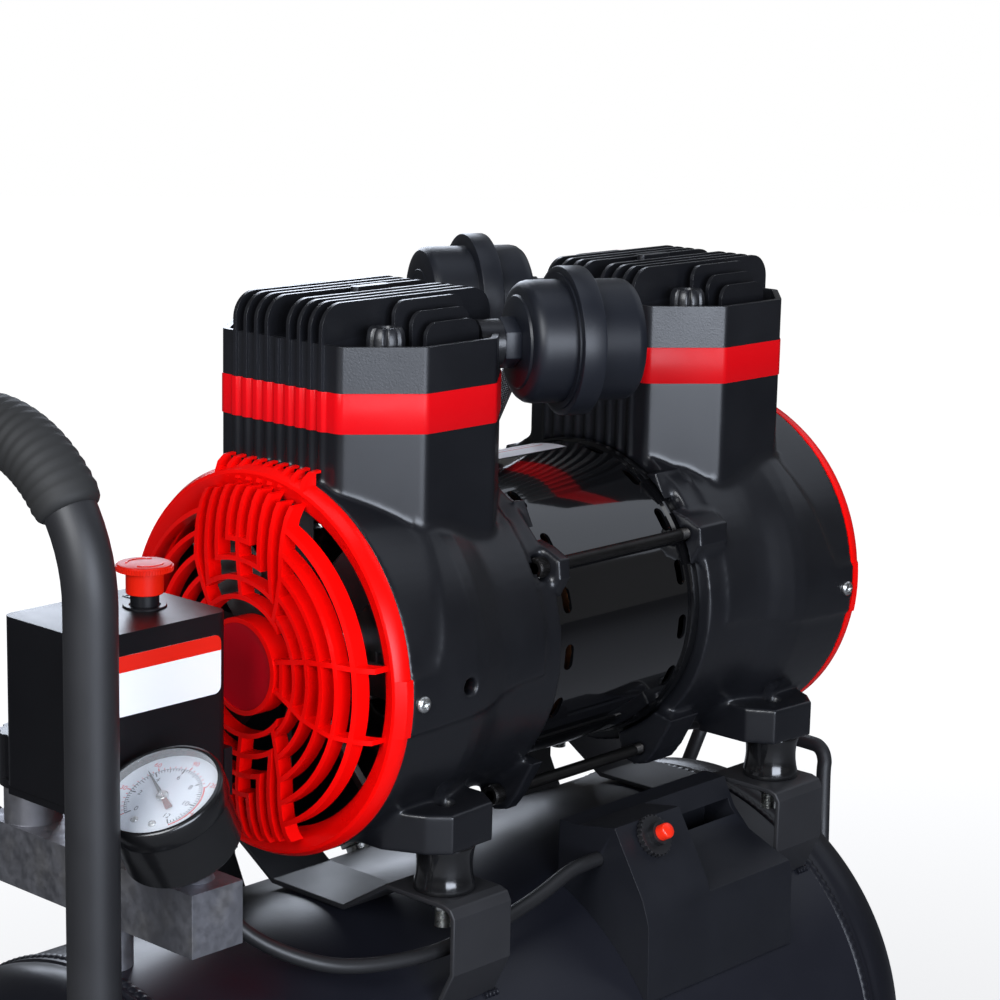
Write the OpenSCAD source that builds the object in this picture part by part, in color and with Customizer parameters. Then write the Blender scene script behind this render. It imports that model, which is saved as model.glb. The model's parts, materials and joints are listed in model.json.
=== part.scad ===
// Twin-cylinder oil-free air compressor on a horizontal receiver, in millimetres.
// X runs along the tank and the motor shaft, -Y is the front, +Z is up.
// The origin is on the ground under the middle of the tank.

/* [Tank] */
// Outside radius of the receiver
tank_r = 130; // [125:1:133]
// Length of the rolled barrel between the two weld lines
tank_barrel = 410; // [400:1:420]
// Sheet thickness of the receiver
tank_wall = 2.5; // [2:0.5:3]
// Straight collar of each dished end
dome_collar = 15; // [12:1:18]
// Depth of the dished part of each end
dome_depth = 60; // [55:1:64]
// Height of the tank axis above the ground
tank_z = 205; // [203:1:208]

/* [Pump] */
// Distance of the motor centre from the tank centre, along X
pump_x = 60; // [55:1:65]
// Height of the motor shaft above the tank axis
pump_rise = 250; // [250:1:252]
// Radius of the fan housings at the grilles
drum_r = 90; // [88:1:92]
// Radius of the bare motor barrel
barrel_r = 75; // [74:1:76]
// Distance of each cylinder axis from the motor centre
cyl_x = 106; // [104:1:108]
// Outside face of each fan housing, where the grille starts
drum_x = 163; // [160:1:166]

/* [Cylinders] */
// Half the width of the cylinder block along X
block_hx = 52.4; // [50:0.2:53]
// Half the depth of the cylinder block along Y
block_hy = 63; // [60:0.5:65]
// Corner cut of the cylinder block along X
block_cut_x = 30; // [26:0.5:31]
// Corner cut of the cylinder block along Y
block_cut_y = 25; // [22:0.5:27]
// Distance between neighbouring cooling fins
fin_pitch = 7; // [6.5:0.1:7.2]
// Thickness of a cooling fin
fin_t = 2; // [1.6:0.1:2.4]
// Crank throw, half the stroke
throw = 6; // [5:0.5:7]
// Radius of the cylinder bore
bore_r = 30; // [28:0.5:31]

/* [Wheels] */
// Outside radius of the wheels
wheel_r = 62.5; // [58:0.5:64]
// Distance of the axle from the tank centre, along X
axle_x = 175; // [165:1:185]

/* [Hidden] */
$fn = 64;
pump_z = tank_z + pump_rise;
half_barrel = tank_barrel / 2;
// plan height of the parts of the pump, above the shaft
deck_z = 112;
plate_t = 3;
head_z = deck_z + plate_t;
band_low = 108.5;
band_high = 126.5;
rim_z = 147;
fin_top = 164.8;
rib_out = 1.5;
// radius of the upright corners of the cylinder block
corner_r = 5;
// how far the raised panel stands out of each fan housing, and its height limits
panel_out = 1.4;
panel_low = -17;
panel_high = 9;
// running clearance of a shaft in its bore
run = 0.05;
shaft_r = 8;
big_end_r = 17;
rod_l = 99;
bearing_r = 17.5;
lug_x = 122.5;
// height of the two screws that hold each grille
screw_z = -3;
lug_y = 73;
lug_top = -59.5;
lug_bottom = -78;
plate_z = -100;
bracket_w = 38;
bracket_t = 2.5;
stud_r = 4;
tie_top = [69.5, 38.5];
tie_low = [45, -77];
muffler_turn = -28;
muffler_at = [-60, -47, 141];
bar_x = -258;
bar_z = -80;
gauge_at = [-279, -62, -24];
gauge_lift = 61.5;
gauge_swing = 11;
gauge_r = 25;
gauge_deep = 29;
switch_lo = [-292, -32, -42];
switch_hi = [-216, 28, 38];
knob_at = [-238, -2, 38];
inlet_x = -40;
box_panel_lean = 31;
button_at = [5.3, -90, -102.3];
drain_x = -40;

// ---- helpers ----
module pump() translate([pump_x, 0, pump_z]) children();
module left_unit() rotate([0, 0, 180]) children();
module both_units() {
    children();
    left_unit() children();
}
module along_x(x0, length) translate([x0, 0, 0]) rotate([90, 0, 90]) linear_extrude(length) children();
module along_y(y0, length) translate([0, y0 + length, 0]) rotate([90, 0, 0])
    linear_extrude(length) children();
module spin_x() rotate([0, 90, 0]) rotate_extrude($fn = 96) children();
module rod_x(x0, x1, r) translate([x0, 0, 0]) rotate([0, 90, 0]) cylinder(r = r, h = x1 - x0);
module rod_y(y0, y1, r) translate([0, y0, 0]) rotate([-90, 0, 0]) cylinder(r = r, h = y1 - y0);
module tube_z(r_out, r_in, h) difference() {
    cylinder(r = r_out, h = h);
    translate([0, 0, -1]) cylinder(r = r_in, h = h + 2);
}
function unit3(v) = v / norm(v);
function left_of(v) = [-v[1], v[0]];
// point beside path point i, at distance w from both of the lines that meet there
function beside(path, i, w) =
    let (last = len(path) - 1,
         a = unit3(path[min(i + 1, last)] - path[min(i, last - 1)]),
         b = unit3(path[max(i, 1)] - path[max(i - 1, 0)]),
         n = unit3(left_of(a) + left_of(b)))
    path[i] + n * w / (n * left_of(a));
// flat strip of thickness t that follows the points of a path, with mitred bends
module strip(path, t) polygon([for (i = [0 : len(path) - 1]) beside(path, i, t / 2),
    for (i = [len(path) - 1 : -1 : 0]) beside(path, i, -t / 2)]);
function spline(a, b, c, d, t) = 0.5 * (2 * b + (c - a) * t + (2 * a - 5 * b + 4 * c - d) * t * t
    + (3 * b - a - 3 * c + d) * t * t * t);
function smooth_path(p, n) = [for (i = [0 : len(p) - 2]) for (j = [0 : n - 1])
    spline(p[max(i - 1, 0)], p[i], p[i + 1], p[min(i + 2, len(p) - 1)], j / n), p[len(p) - 1]];
// round tube swept along a path; side must never be parallel to the path
module sweep(path, r, side, sides = 8) {
    last = len(path) - 1;
    rings = [for (i = [0 : last])
        let (t = unit3(path[min(i + 1, last)] - path[max(i - 1, 0)]),
             u = unit3(cross(t, side)), v = cross(t, u))
        for (k = [0 : sides - 1]) path[i] + r * (cos(360 * k / sides) * u + sin(360 * k / sides) * v)];
    walls = [for (i = [0 : last - 1]) for (k = [0 : sides - 1])
        let (a = i * sides + k, b = i * sides + (k + 1) % sides) [a, a + sides, b + sides, b]];
    first_cap = [for (k = [0 : sides - 1]) k];
    last_cap = [for (k = [sides - 1 : -1 : 0]) last * sides + k];
    polyhedron(points = rings, faces = concat(walls, [first_cap], [last_cap]), convexity = 6);
}

// ---- receiver ----
// dished end, cut square at the weld line; grow moves its surface outwards
function dome_outline(grow) = concat([[0, 0], [tank_r + grow, 0]],
    [for (a = [0 : 7.5 : 90]) [(tank_r + grow) * cos(a), dome_collar + (dome_depth + grow) * sin(a)]]);
module dome(grow = 0) rotate_extrude($fn = 96) polygon(dome_outline(grow));
module tank_solid(grow = 0) translate([0, 0, tank_z]) {
    rod_x(-half_barrel, half_barrel, tank_r + grow);
    translate([half_barrel, 0, 0]) rotate([0, 90, 0]) dome(grow);
    translate([-half_barrel, 0, 0]) rotate([0, -90, 0]) dome(grow);
}
module tank_shell() color([0.05, 0.05, 0.06]) difference() {
    translate([0, 0, tank_z]) rod_x(-half_barrel, half_barrel, tank_r);
    translate([0, 0, tank_z]) rod_x(-half_barrel - 1, half_barrel + 1, tank_r - tank_wall);
    // threaded ports: outlet manifold, delivery inlet and drain
    translate([pump_x + bar_x, 0, tank_z]) cylinder(r = 9, h = tank_r + 5);
    translate([pump_x + inlet_x, 0, tank_z]) rotate([-30, 0, 0]) cylinder(r = 7, h = tank_r + 5);
    translate([drain_x, 0, 0]) cylinder(r = 5.5, h = tank_z);
}
module tank_ends() color([0.05, 0.05, 0.06]) {
    for (s = [1, -1]) translate([s * half_barrel, 0, tank_z]) rotate([0, 90 * s, 0]) difference() {
        dome();
        translate([0, 0, -0.01]) dome(-tank_wall);
        // joggle line beside the weld
        translate([0, 0, 5]) tube_z(tank_r + 1, tank_r - 0.8, 2.4);
    }
}

// ---- running gear ----
module foot_outline() difference() {
    union() {
        strip([[-92, 31.5], [92, 31.5]], 3);
        for (s = [1, -1]) strip([[s * 92, 31.5], [s * 84, 118]], 3);
    }
    translate([0, tank_z]) circle(r = tank_r + 0.05, $fn = 128);
}
module foot_bracket() color([0.07, 0.07, 0.08]) difference() {
    along_x(-175, 44) foot_outline();
    for (s = [1, -1]) translate([-153, s * 62, 20]) cylinder(r = 4.2, h = 20);
}
module rubber_feet() color([0.03, 0.03, 0.03]) for (s = [1, -1]) translate([-153, s * 62, 0]) {
    rotate_extrude() polygon([[3, 0], [17, 0], [19, 3], [19, 8], [15, 30], [3, 30]]);
    translate([0, 0, 30]) tube_z(4, 3, 3);
    translate([0, 0, 33]) tube_z(8, 3, 3);
}
module axle_bracket_outline() difference() {
    union() {
        strip([[-58, 46], [58, 46]], 3);
        for (s = [1, -1]) strip([[s * 58, 46], [s * 58, 100]], 3);
    }
    translate([0, tank_z]) circle(r = tank_r + 0.05, $fn = 128);
}
module axle_bracket() color([0.07, 0.07, 0.08]) difference() {
    along_x(axle_x - 24, 48) axle_bracket_outline();
    translate([axle_x, 0, wheel_r]) rod_y(-90, 90, 6.1);
}
module axle() color([0.6, 0.6, 0.62]) translate([axle_x, 0, wheel_r]) {
    rod_y(-143.5, 143.5, 6);
    for (s = [1, -1]) {
        translate([0, s * 105.5, 0]) rod_y(-1, 1, 11);
        translate([0, s * 142.5, 0]) rod_y(-1, 1, 11);
    }
}
module wheel(s) translate([axle_x, s * 110, wheel_r]) rotate([-90 * s, 0, 0]) difference() {
    union() {
        tube_z(46, 40, 28);
        translate([0, 0, 10]) cylinder(r = 41, h = 8);
        translate([0, 0, -3]) cylinder(r = 14, h = 34);
        for (k = [0 : 5]) rotate(60 * k) translate([-3, 10, 8]) cube([6, 32, 14]);
    }
    translate([0, 0, -20]) cylinder(r = 6 + run, h = 60);
    for (k = [0 : 5]) rotate(60 * k + 30) translate([27, 0, 0]) cylinder(r = 8, h = 30);
}
module tyre(s) translate([axle_x, s * 110, wheel_r]) rotate([-90 * s, 0, 0]) rotate_extrude($fn = 96)
    polygon([[46.05, 1], [57, 0], [61, 3], [wheel_r, 8], [wheel_r, 20], [61, 25], [57, 28], [46.05, 27]]);
module wheel_front() color([0.12, 0.12, 0.13]) wheel(-1);
module wheel_rear() color([0.12, 0.12, 0.13]) wheel(1);
module tyre_front() color([0.03, 0.03, 0.03]) tyre(-1);
module tyre_rear() color([0.03, 0.03, 0.03]) tyre(1);

// ---- handles ----
pull_r = 64;
pull_x = -257;
pull_arch_z = pump_z + 62;
module pull_handle() color([0.06, 0.06, 0.07]) difference() {
    union() {
        for (s = [1, -1]) translate([pull_x, s * pull_r, 250]) cylinder(r = 11, h = pull_arch_z - 250);
        translate([pull_x, 0, pull_arch_z]) rotate([90, 0, 90]) rotate_extrude(angle = 180)
            translate([pull_r, 0]) circle(r = 11, $fn = 48);
    }
    tank_solid(0.02);
}
module handle_grip() color([0.04, 0.04, 0.04]) translate([pull_x, 0, pull_arch_z]) rotate([90, 0, 90])
    rotate(35) rotate_extrude(angle = 110) translate([pull_r, 0]) difference() {
        circle(r = 14.5, $fn = 48);
        circle(r = 11.05, $fn = 48);
    }
lift_r = 4;
lift_top = [215, 43, -112];
lift_foot = [201, 53, -165];
function lift_path() = [
    [lift_foot[0], -lift_foot[1], lift_foot[2]], [lift_top[0] - 4, -lift_top[1] - 2, lift_top[2] - 16],
    [lift_top[0] - 1, -lift_top[1], lift_top[2] - 7], [lift_top[0], -lift_top[1] + 4, lift_top[2] - 1.5],
    [lift_top[0], -lift_top[1] + 12, lift_top[2]], [lift_top[0], 0, lift_top[2]],
    [lift_top[0], lift_top[1] - 12, lift_top[2]], [lift_top[0], lift_top[1] - 4, lift_top[2] - 1.5],
    [lift_top[0] - 1, lift_top[1], lift_top[2] - 7], [lift_top[0] - 4, lift_top[1] + 2, lift_top[2] - 16],
    [lift_foot[0], lift_foot[1], lift_foot[2]]];
module lift_handle() color([0.06, 0.06, 0.07]) difference() {
    pump() {
        sweep(smooth_path(lift_path(), 4), lift_r, [1, 0.02, 0.3], 16);
        for (s = [1, -1]) translate([lift_foot[0] + 2, s * lift_foot[1], lift_foot[2] - 2])
            rotate([0, 50, 0]) translate([-4, -6, -3]) cube([26, 12, 5]);
    }
    tank_solid(0.02);
}

// ---- pump carrier ----
function carrier_path() = [[-84, -152], [-94, -132], [-94, -106], [-92, -102.5], [-88, -101.25],
    [-52, -101.25], [-24, -118.65], [24, -118.65], [52, -101.25], [88, -101.25], [92, -102.5],
    [94, -106], [94, -132], [84, -152]];
module carrier() difference() {
    along_x(lug_x - 2.5 - bracket_w / 2, bracket_w) strip(carrier_path(), bracket_t);
    translate([0, 0, -pump_rise]) rod_x(0, 200, tank_r + 0.05);
    for (s = [1, -1]) translate([lug_x, s * lug_y, -110]) cylinder(r = stud_r + 0.3, h = 20);
}
module pump_brackets() color([0.08, 0.08, 0.08]) pump() both_units() carrier();
module rubber_mounts() color([0.03, 0.03, 0.03]) pump() both_units() for (s = [1, -1])
    translate([lug_x, s * lug_y, 0]) rotate_extrude() polygon([[stud_r + run, plate_z], [14, plate_z],
        [14.2, plate_z + 2], [13, plate_z + 7], [12.7, plate_z + 11], [13, plate_z + 15],
        [14.2, plate_z + 20], [14, lug_bottom], [stud_r + run, lug_bottom]]);
module mount_studs() color([0.55, 0.55, 0.55]) pump() both_units() for (s = [1, -1])
    translate([lug_x, s * lug_y, 0]) {
        translate([0, 0, -118]) cylinder(r = stud_r, h = 118 - 66);
        translate([0, 0, -109.3]) tube_z(6.6, stud_r - 0.5, 6.8, $fn = 6);
    }

// ---- motor ----
module vent_slot() rotate([0, 90, 0]) {
    translate([-3.3, 0, 60]) cylinder(r = 3, h = 30, $fn = 24);
    translate([3.3, 0, 60]) cylinder(r = 3, h = 30, $fn = 24);
    translate([-3.3, -3, 60]) cube([6.6, 6, 30]);
}
module motor_barrel() color([0.02, 0.02, 0.02]) pump() difference() {
    union() {
        rod_x(-56, 56, barrel_r);
        for (s = [1, -1]) translate([s * 49, 0, 0]) rod_x(-1.5, 1.5, barrel_r + 1.2);
    }
    rod_x(-57, 57, barrel_r - 1.5);
    for (s = [1, -1]) for (k = [0 : 15]) translate([s * 42, 0, 0]) rotate([k * 21 + 17, 0, 0])
        rotate([0, 0, 90]) vent_slot();
}
module stator_core() color([0.45, 0.45, 0.46]) pump() difference() {
    rod_x(-30, 30, barrel_r - 1.6);
    rod_x(-31, 31, 42);
    for (k = [0 : 11]) rotate([30 * k, 0, 0]) translate([-31, -3, 38]) cube([62, 6, 18]);
}
module stator_windings() color([0.7, 0.35, 0.12]) pump() for (s = [1, -1]) translate([s * 37, 0, 0])
    spin_x() translate([57, 0]) circle(r = 6.8, $fn = 32);
module motor_shaft() color([0.6, 0.6, 0.62]) pump() rod_x(-160, 160, shaft_r);
module rotor_core() color([0.5, 0.5, 0.5]) pump() difference() {
    union() {
        rod_x(-30, 30, 41.4);
        for (s = [1, -1]) translate([s * 33, 0, 0]) rod_x(-3, 3, 36);
    }
    rod_x(-40, 40, shaft_r + 0.01);
}
module bearings() color([0.7, 0.7, 0.7]) pump() both_units() translate([55, 0, 0]) rotate([0, 90, 0])
    tube_z(bearing_r - 0.02, shaft_r + run, 11);
module fan() difference() {
    union() {
        rod_x(138, 158, 20);
        for (k = [0 : 7]) rotate([45 * k, 0, 0]) translate([152.5, 0, 46]) rotate([0, 0, 38])
            cube([3, 24, 58], center = true);
    }
    rod_x(130, 165, shaft_r + 0.01);
}
module fans() color([0.05, 0.05, 0.05]) pump() both_units() fan();
// eccentric with its counterweight, crank pin up; the other unit's points down
module crank() difference() {
    union() {
        translate([0, 0, throw]) rod_x(cyl_x - 6, cyl_x + 6, big_end_r);
        intersection() {
            rod_x(cyl_x + 7, cyl_x + 13, 30);
            translate([cyl_x, -40, -40]) cube([40, 80, 40]);
        }
        rod_x(cyl_x + 5, cyl_x + 13, big_end_r - throw - 0.1);
    }
    rod_x(cyl_x - 20, cyl_x + 20, shaft_r + 0.01);
}
module cranks() color([0.55, 0.55, 0.56]) pump() {
    crank();
    left_unit() rotate([180, 0, 0]) crank();
}
module conrod() {
    rotate([0, 90, 0]) translate([0, 0, -5.5]) tube_z(24, big_end_r + run, 11);
    translate([-4, -7, 23]) cube([8, 14, rod_l - 9 - 23]);
}
module piston() {
    translate([0, 0, rod_l - 9]) cylinder(r = bore_r - throw - 0.8, h = 7);
    translate([0, 0, rod_l - 2]) cylinder(r = 16, h = 2);
}
module at_pin(s) pump() translate([s * cyl_x, 0, s * throw]) children();
module conrod_left() color([0.6, 0.6, 0.6]) at_pin(-1) conrod();
module conrod_right() color([0.6, 0.6, 0.6]) at_pin(1) conrod();
module piston_left() color([0.35, 0.35, 0.36]) at_pin(-1) piston();
module piston_right() color([0.35, 0.35, 0.36]) at_pin(1) piston();

// ---- crankcase and cylinder block ----
function octagon(hx, hy, cx, cy) = [[hx, hy - cy], [hx - cx, hy], [cx - hx, hy], [-hx, hy - cy],
    [-hx, cy - hy], [cx - hx, -hy], [hx - cx, -hy], [hx, cy - hy]];
// corner at p between the unit directions a and b, as an arc of radius r
function arc_corner(p, a, b, r, steps) =
    let (half = acos(a * b) / 2, centre = p + unit3(a + b) * r / sin(half), turn = 180 - 2 * half,
         va = p + a * r / tan(half) - centre, vb = p + b * r / tan(half) - centre)
    [for (k = [0 : steps]) centre
        + (sin(turn * (1 - k / steps)) * va + sin(turn * k / steps) * vb) / sin(turn)];
function rounded(points, r, steps = 4) = [for (i = [0 : len(points) - 1])
    let (n = len(points), p = points[i])
    each arc_corner(p, unit3(points[(i + n - 1) % n] - p), unit3(points[(i + 1) % n] - p), r, steps)];
// both corner cuts change with grow so that every face moves by the same distance
module block_plan(grow = 0, ribs = true) {
    slope = norm([block_cut_x, block_cut_y]);
    polygon(rounded(octagon(block_hx + grow, block_hy + grow,
        block_cut_x + grow * (1 - (slope - block_cut_x) / block_cut_y),
        block_cut_y + grow * (1 - (slope - block_cut_y) / block_cut_x)), max(corner_r + grow, 1)));
    if (ribs) for (k = [-4 : 4]) translate([0, k * fin_pitch])
        square([2 * (block_hx + rib_out + grow), fin_t + 2 * grow], center = true);
}
module block(z0, z1, grow = 0, ribs = true) translate([cyl_x, 0, z0]) linear_extrude(z1 - z0)
    block_plan(grow, ribs);
module drum_outside() spin_x() polygon([[0, 55], [82, 55], [82, 66], [83, 90], [84, 98], [86.5, 106],
    [88.8, 114], [drum_r, 122], [drum_r, drum_x], [0, drum_x]]);
module drum_inside() spin_x() polygon([[0, 66], [76, 66], [77, 90], [79, 100], [82, 110], [84, 120],
    [84, drum_x + 1], [0, drum_x + 1]]);
// raised panel on the side of the fan housing, with the pad of the grille screw
module drum_panel(s) intersection() {
    spin_x() polygon([[60, 66], [82 + panel_out, 66], [83 + panel_out, 90], [84 + panel_out, 98],
        [86.5 + panel_out, 106], [88.8 + panel_out, 114], [drum_r + panel_out, 122],
        [drum_r + panel_out, drum_x], [60, drum_x]]);
    along_y(s > 0 ? 50 : -100, 50) polygon([[68, -8], [92, -10], [110, -14], [drum_x, panel_low],
        [drum_x, panel_high], [148, panel_high + 2], [143, 20], [136, 44], [128, 66], [68, 66]]);
}
module mount_lug(s) translate([0, 0, lug_bottom]) linear_extrude(lug_top - lug_bottom)
    polygon([for (p = [[98, 44], [98, 74], [106, 87], [134, 89], [143, 80], [152, 62], [152, 44]])
        [p[0], s * p[1]]]);
module tie_lugs(reach) for (s = [1, -1]) {
    along_x(48, reach) polygon([[s * 66, 14], [s * 73, 22], [s * 80, 34], [s * 79, 43], [s * 70, 47],
        [s * 58, 50], [s * 50, 66], [s * 40, 64], [s * 56, 20]]);
    along_x(48, reach) polygon([[s * 30, -68], [s * 34, -84], [s * 42, -86], [s * 50, -84], [s * 56, -76],
        [s * 66, -58], [s * 50, -55]]);
}
// reach is the length of the tie bolt lugs; head_pocket makes room for the bolt heads
module crankcase(reach, head_pocket) difference() {
    union() {
        drum_outside();
        block(10, deck_z);
        for (s = [1, -1]) mount_lug(s);
        difference() {
            tie_lugs(reach);
            rod_x(40, 54.9, barrel_r + 2.5);
        }
        for (s = [1, -1]) drum_panel(s);
    }
    drum_inside();
    intersection() {
        block(10, deck_z - 6, -5, false);
        translate([66, -80, 0]) cube([100, 160, deck_z]);
    }
    translate([cyl_x, 0, 40]) cylinder(r = bore_r + 4, h = 80);
    rod_x(50, 70, bearing_r);
    rod_x(50, 56, barrel_r + 0.05);
    // air windows in the motor side wall
    for (k = [0 : 5]) rotate([60 * k + 30, 0, 0]) translate([63, 0, 44]) rotate([0, 90, 0])
        cylinder(r = 13, h = 20, center = true);
    translate([126.5, 70, -1]) rotate([-90, 0, 0]) cylinder(r = 4, h = 30);
    head_screw_holes(2.6);
    for (s = [1, -1]) {
        translate([lug_x, s * lug_y, lug_bottom - 1]) cylinder(r = 4.6, h = 30);
        translate([0, s * tie_top[0], tie_top[1]]) rod_x(40, 80, 3.1);
        translate([0, s * tie_low[0], tie_low[1]]) rod_x(40, 80, 3.1);
        if (head_pocket) for (p = [tie_top, tie_low]) translate([0, s * p[0], p[1]]) rod_x(56.5, 64, 6.5);
        translate([157, s * 75, screw_z]) rotate([-90 * s, 0, 0]) cylinder(r = 2.1, h = 20);
    }
}
module crankcase_left() color([0.06, 0.06, 0.065]) pump() left_unit() crankcase(8.5, true);
module crankcase_right() color([0.06, 0.06, 0.065]) pump() crankcase(22, false);
module cylinder_liners() color([0.65, 0.65, 0.66]) pump() both_units() translate([cyl_x, 0, 62])
    tube_z(bore_r + 3.9, bore_r, deck_z - 62);
module valve_plates() color([0.5, 0.5, 0.52]) pump() both_units() difference() {
    block(deck_z, head_z);
    for (x = [-10, 10]) translate([cyl_x + x, 0, deck_z - 1]) cylinder(r = 4, h = 6);
    head_screw_holes(2.6);
}
// full-length fin with round top corners, in its own XZ plane
module fin(y, x0, x1, top, corner) along_y(y - fin_t / 2, fin_t) translate([cyl_x, 0]) {
    translate([x0, rim_z - 19]) square([x1 - x0, top - corner - rim_z + 19]);
    translate([x0 + corner, rim_z - 19]) square([x1 - x0 - 2 * corner, top - rim_z + 19]);
    for (x = [x0 + corner, x1 - corner]) translate([x, top - corner]) circle(r = corner, $fn = 48);
}
module corner_fins() {
    fin(-5 * fin_pitch, -16, 28, 164, 7);
    fin(-6 * fin_pitch, -12, 25, 159.5, 7);
    fin(-7 * fin_pitch, -10, 24, 155, 7);
}
module turned() translate([cyl_x, 0, 0]) rotate([0, 0, 180]) translate([-cyl_x, 0, 0]) children();
// plan place of each head screw from the cylinder axis, and the radius of its head
screw_spots = [[-27, -41.5, 8.8], [27, 41.5, 8.8], [34, -37, 4.5]];
module head_screw_holes(r) for (p = screw_spots)
    translate([cyl_x + p[0], p[1], 84]) cylinder(r = r, h = 60);
module head() {
    difference() {
        block(head_z, rim_z);
        block(128, rim_z + 10, -3, false);
        muffler_bore();
        block(head_z - 1, 124, -8, false);
        head_screw_holes(3.2);
        left_unit() muffler_frame() rod_x(-4, 30, 13);
    }
    difference() {
        block(head_z, 124, -7.9, false);
        for (x = [-17, 17]) translate([cyl_x + x, 0, 0]) linear_extrude(124)
            square([28, 80], center = true);
        head_screw_holes(3.2);
    }
    for (k = [1 : 4]) for (s = [1, -1])
        fin(s * k * fin_pitch, -block_hx - rib_out, block_hx + rib_out, fin_top, 12);
    corner_fins();
    turned() corner_fins();
    difference() {
        left_unit() muffler_frame() rod_x(-15, -4, 11);
        muffler_bore();
        block(head_z, 127, 0, false);
    }
    // narrow round-ended rib between the middle fins, a little higher than they are
    translate([cyl_x - 4, 0, rim_z - 19]) linear_extrude(fin_top + 1.4 - rim_z + 19) {
        square([18, 5], center = true);
        for (x = [-9, 9]) translate([x, 0]) circle(r = 2.5, $fn = 32);
    }
}
// intake boss at the corner that carries the silencer, in the frame of the left head
module muffler_frame() translate(muffler_at) rotate([0, 0, muffler_turn]) children();
module muffler_bore() left_unit() muffler_frame() rod_x(-10, 2, 6.1);
module head_left() color([0.05, 0.05, 0.055]) pump() left_unit() head();
module head_right() color([0.05, 0.05, 0.055]) pump() head();
module red_bands() color([0.8, 0.02, 0.04]) pump() both_units() difference() {
    block(band_low, band_high, 0.4);
    block(band_low - 1, band_high + 1, 0.02);
}
module cover_screws() color([0.6, 0.6, 0.6]) pump() both_units() {
    for (p = screw_spots) translate([cyl_x + p[0], p[1], 0]) {
        translate([0, 0, 90]) cylinder(r = 2.5, h = 40);
        translate([0, 0, 128]) cylinder(r = p[2], h = p[2] > 6 ? 26 : 9);
    }
    for (s = [1, -1]) translate([157, s * (drum_r + panel_out), screw_z]) rotate([-90 * s, 0, 0]) {
        cylinder(r = 3.6, h = 1.8);
        translate([0, 0, -8]) cylinder(r = 2, h = 8.5);
    }
}

// ---- grilles ----
module ring2d(r0, r1) difference() {
    circle(r = r1, $fn = 96);
    circle(r = r0, $fn = 96);
}
// height above the tank side of the drum of the front edge of a bar, by distance from the shaft
bar_front = [[0, 17], [32, 18], [42, 19.2], [50, 20], [56, 20.3], [63, 20], [70, 19], [77, 16.8], [80, 15],
    [83, 12.5], [86, 9]];
bar_deep = 7.5;
bar_t = 2.3;
// radius of the arc on which the upright rib number k ends
function step_r(k) = 68 - 9 * k;
// bar pattern, seen along the shaft
module grille_bars() {
    for (s = [1, -1]) scale([1, s]) {
        for (k = [1 : 3]) for (u = [1, -1])
            translate([u * k * fin_pitch - bar_t / 2, step_r(k) * cos(asin(k * fin_pitch / step_r(k)))])
                square([bar_t, 84 - step_r(k)]);
        translate([-bar_t / 2, step_r(4)]) square([bar_t, 84 - step_r(4)]);
        for (u = [1, -1]) scale([u, 1]) strip([[28, 84], [28, 46], [24.3, 33], [20.5, 23.5]], bar_t);
        for (k = [1 : 4]) intersection() {
            ring2d(step_r(k) - bar_t / 2, step_r(k) + bar_t / 2);
            translate([0, 50]) square([min(2 * k * fin_pitch + bar_t, 48), 100], center = true);
        }
    }
    // arcs outside the edge ribs
    for (u = [1, -1]) scale([u, 1]) {
        intersection() {
            for (k = [0 : 4]) ring2d(35.3 + 9.5 * k - bar_t / 2, 35.3 + 9.5 * k + bar_t / 2);
            polygon([[20, 0], [24.3, 33], [28, 46], [28, 84], [84, 84], [84, -84], [28, -84], [28, -46],
                [24.3, -33]]);
        }
        strip([[21.5, 6], [45, 11.3], [60, 13], [83, 13.2]], bar_t);
        strip([[21.5, -6.8], [40, -15], [60, -19], [83, -19.2]], bar_t);
        strip([[26.4, 7], [26.4, -8.5]], bar_t);
    }
}
module dome_band(t) spin_x() polygon(concat([for (p = bar_front) [p[0], drum_x + p[1]]],
    [for (i = [len(bar_front) - 1 : -1 : 0]) [bar_front[i][0], drum_x + max(bar_front[i][1] - t, 1)]]));
module grille() {
    spin_x() polygon([[77, drum_x], [89.8, drum_x], [90, drum_x + 1], [90, drum_x + 4.5], [88, drum_x + 8],
        [86.5, drum_x + 8.3], [84, drum_x + 7], [79, drum_x + 4.5], [77, drum_x + 2]]);
    // spigot that the two side screws hold
    difference() {
        spin_x() polygon([[80, drum_x - 9], [83.8, drum_x - 9], [83.8, drum_x], [80, drum_x]]);
        translate([157, 0, screw_z]) rod_y(-90, 90, 2.2);
    }
    intersection() {
        along_x(drum_x, 25) intersection() {
            grille_bars();
            circle(r = 82, $fn = 96);
        }
        dome_band(bar_deep);
    }
    difference() {
        rod_x(drum_x + 8, drum_x + 18.5, 22.5);
        rod_x(drum_x + 17, drum_x + 20, 20.1);
        rod_x(drum_x + 7, drum_x + 13, 19);
    }
    // teeth that carry the lines of the block ribs over the ring
    for (k = [-4 : 4]) along_y(k * fin_pitch - 1.3, 2.6) polygon([[drum_x - 3, 90.3], [drum_x, 90.3],
        [drum_x, 83], [drum_x + 8, 83], [drum_x + 6, 88.3], [drum_x + 2.2, 91.2], [drum_x - 3, 91.6]]);
    // thicker stretch of the ring in line with the raised panel
    for (s = [1, -1]) intersection() {
        spin_x() polygon([[87, drum_x], [drum_r + panel_out, drum_x], [drum_r + panel_out, drum_x + 4],
            [88, drum_x + 8]]);
        along_y(s > 0 ? 50 : -100, 50) polygon([[drum_x, panel_low], [drum_x + 12, panel_low],
            [drum_x + 12, panel_high], [drum_x, panel_high]]);
    }
}
module grille_left() color([0.85, 0.04, 0.03]) pump() left_unit() grille();
module grille_right() color([0.85, 0.04, 0.03]) pump() grille();
module hub_discs() color([0.45, 0.02, 0.05]) pump() both_units() rod_x(drum_x + 17, drum_x + 18, 20);

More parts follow.
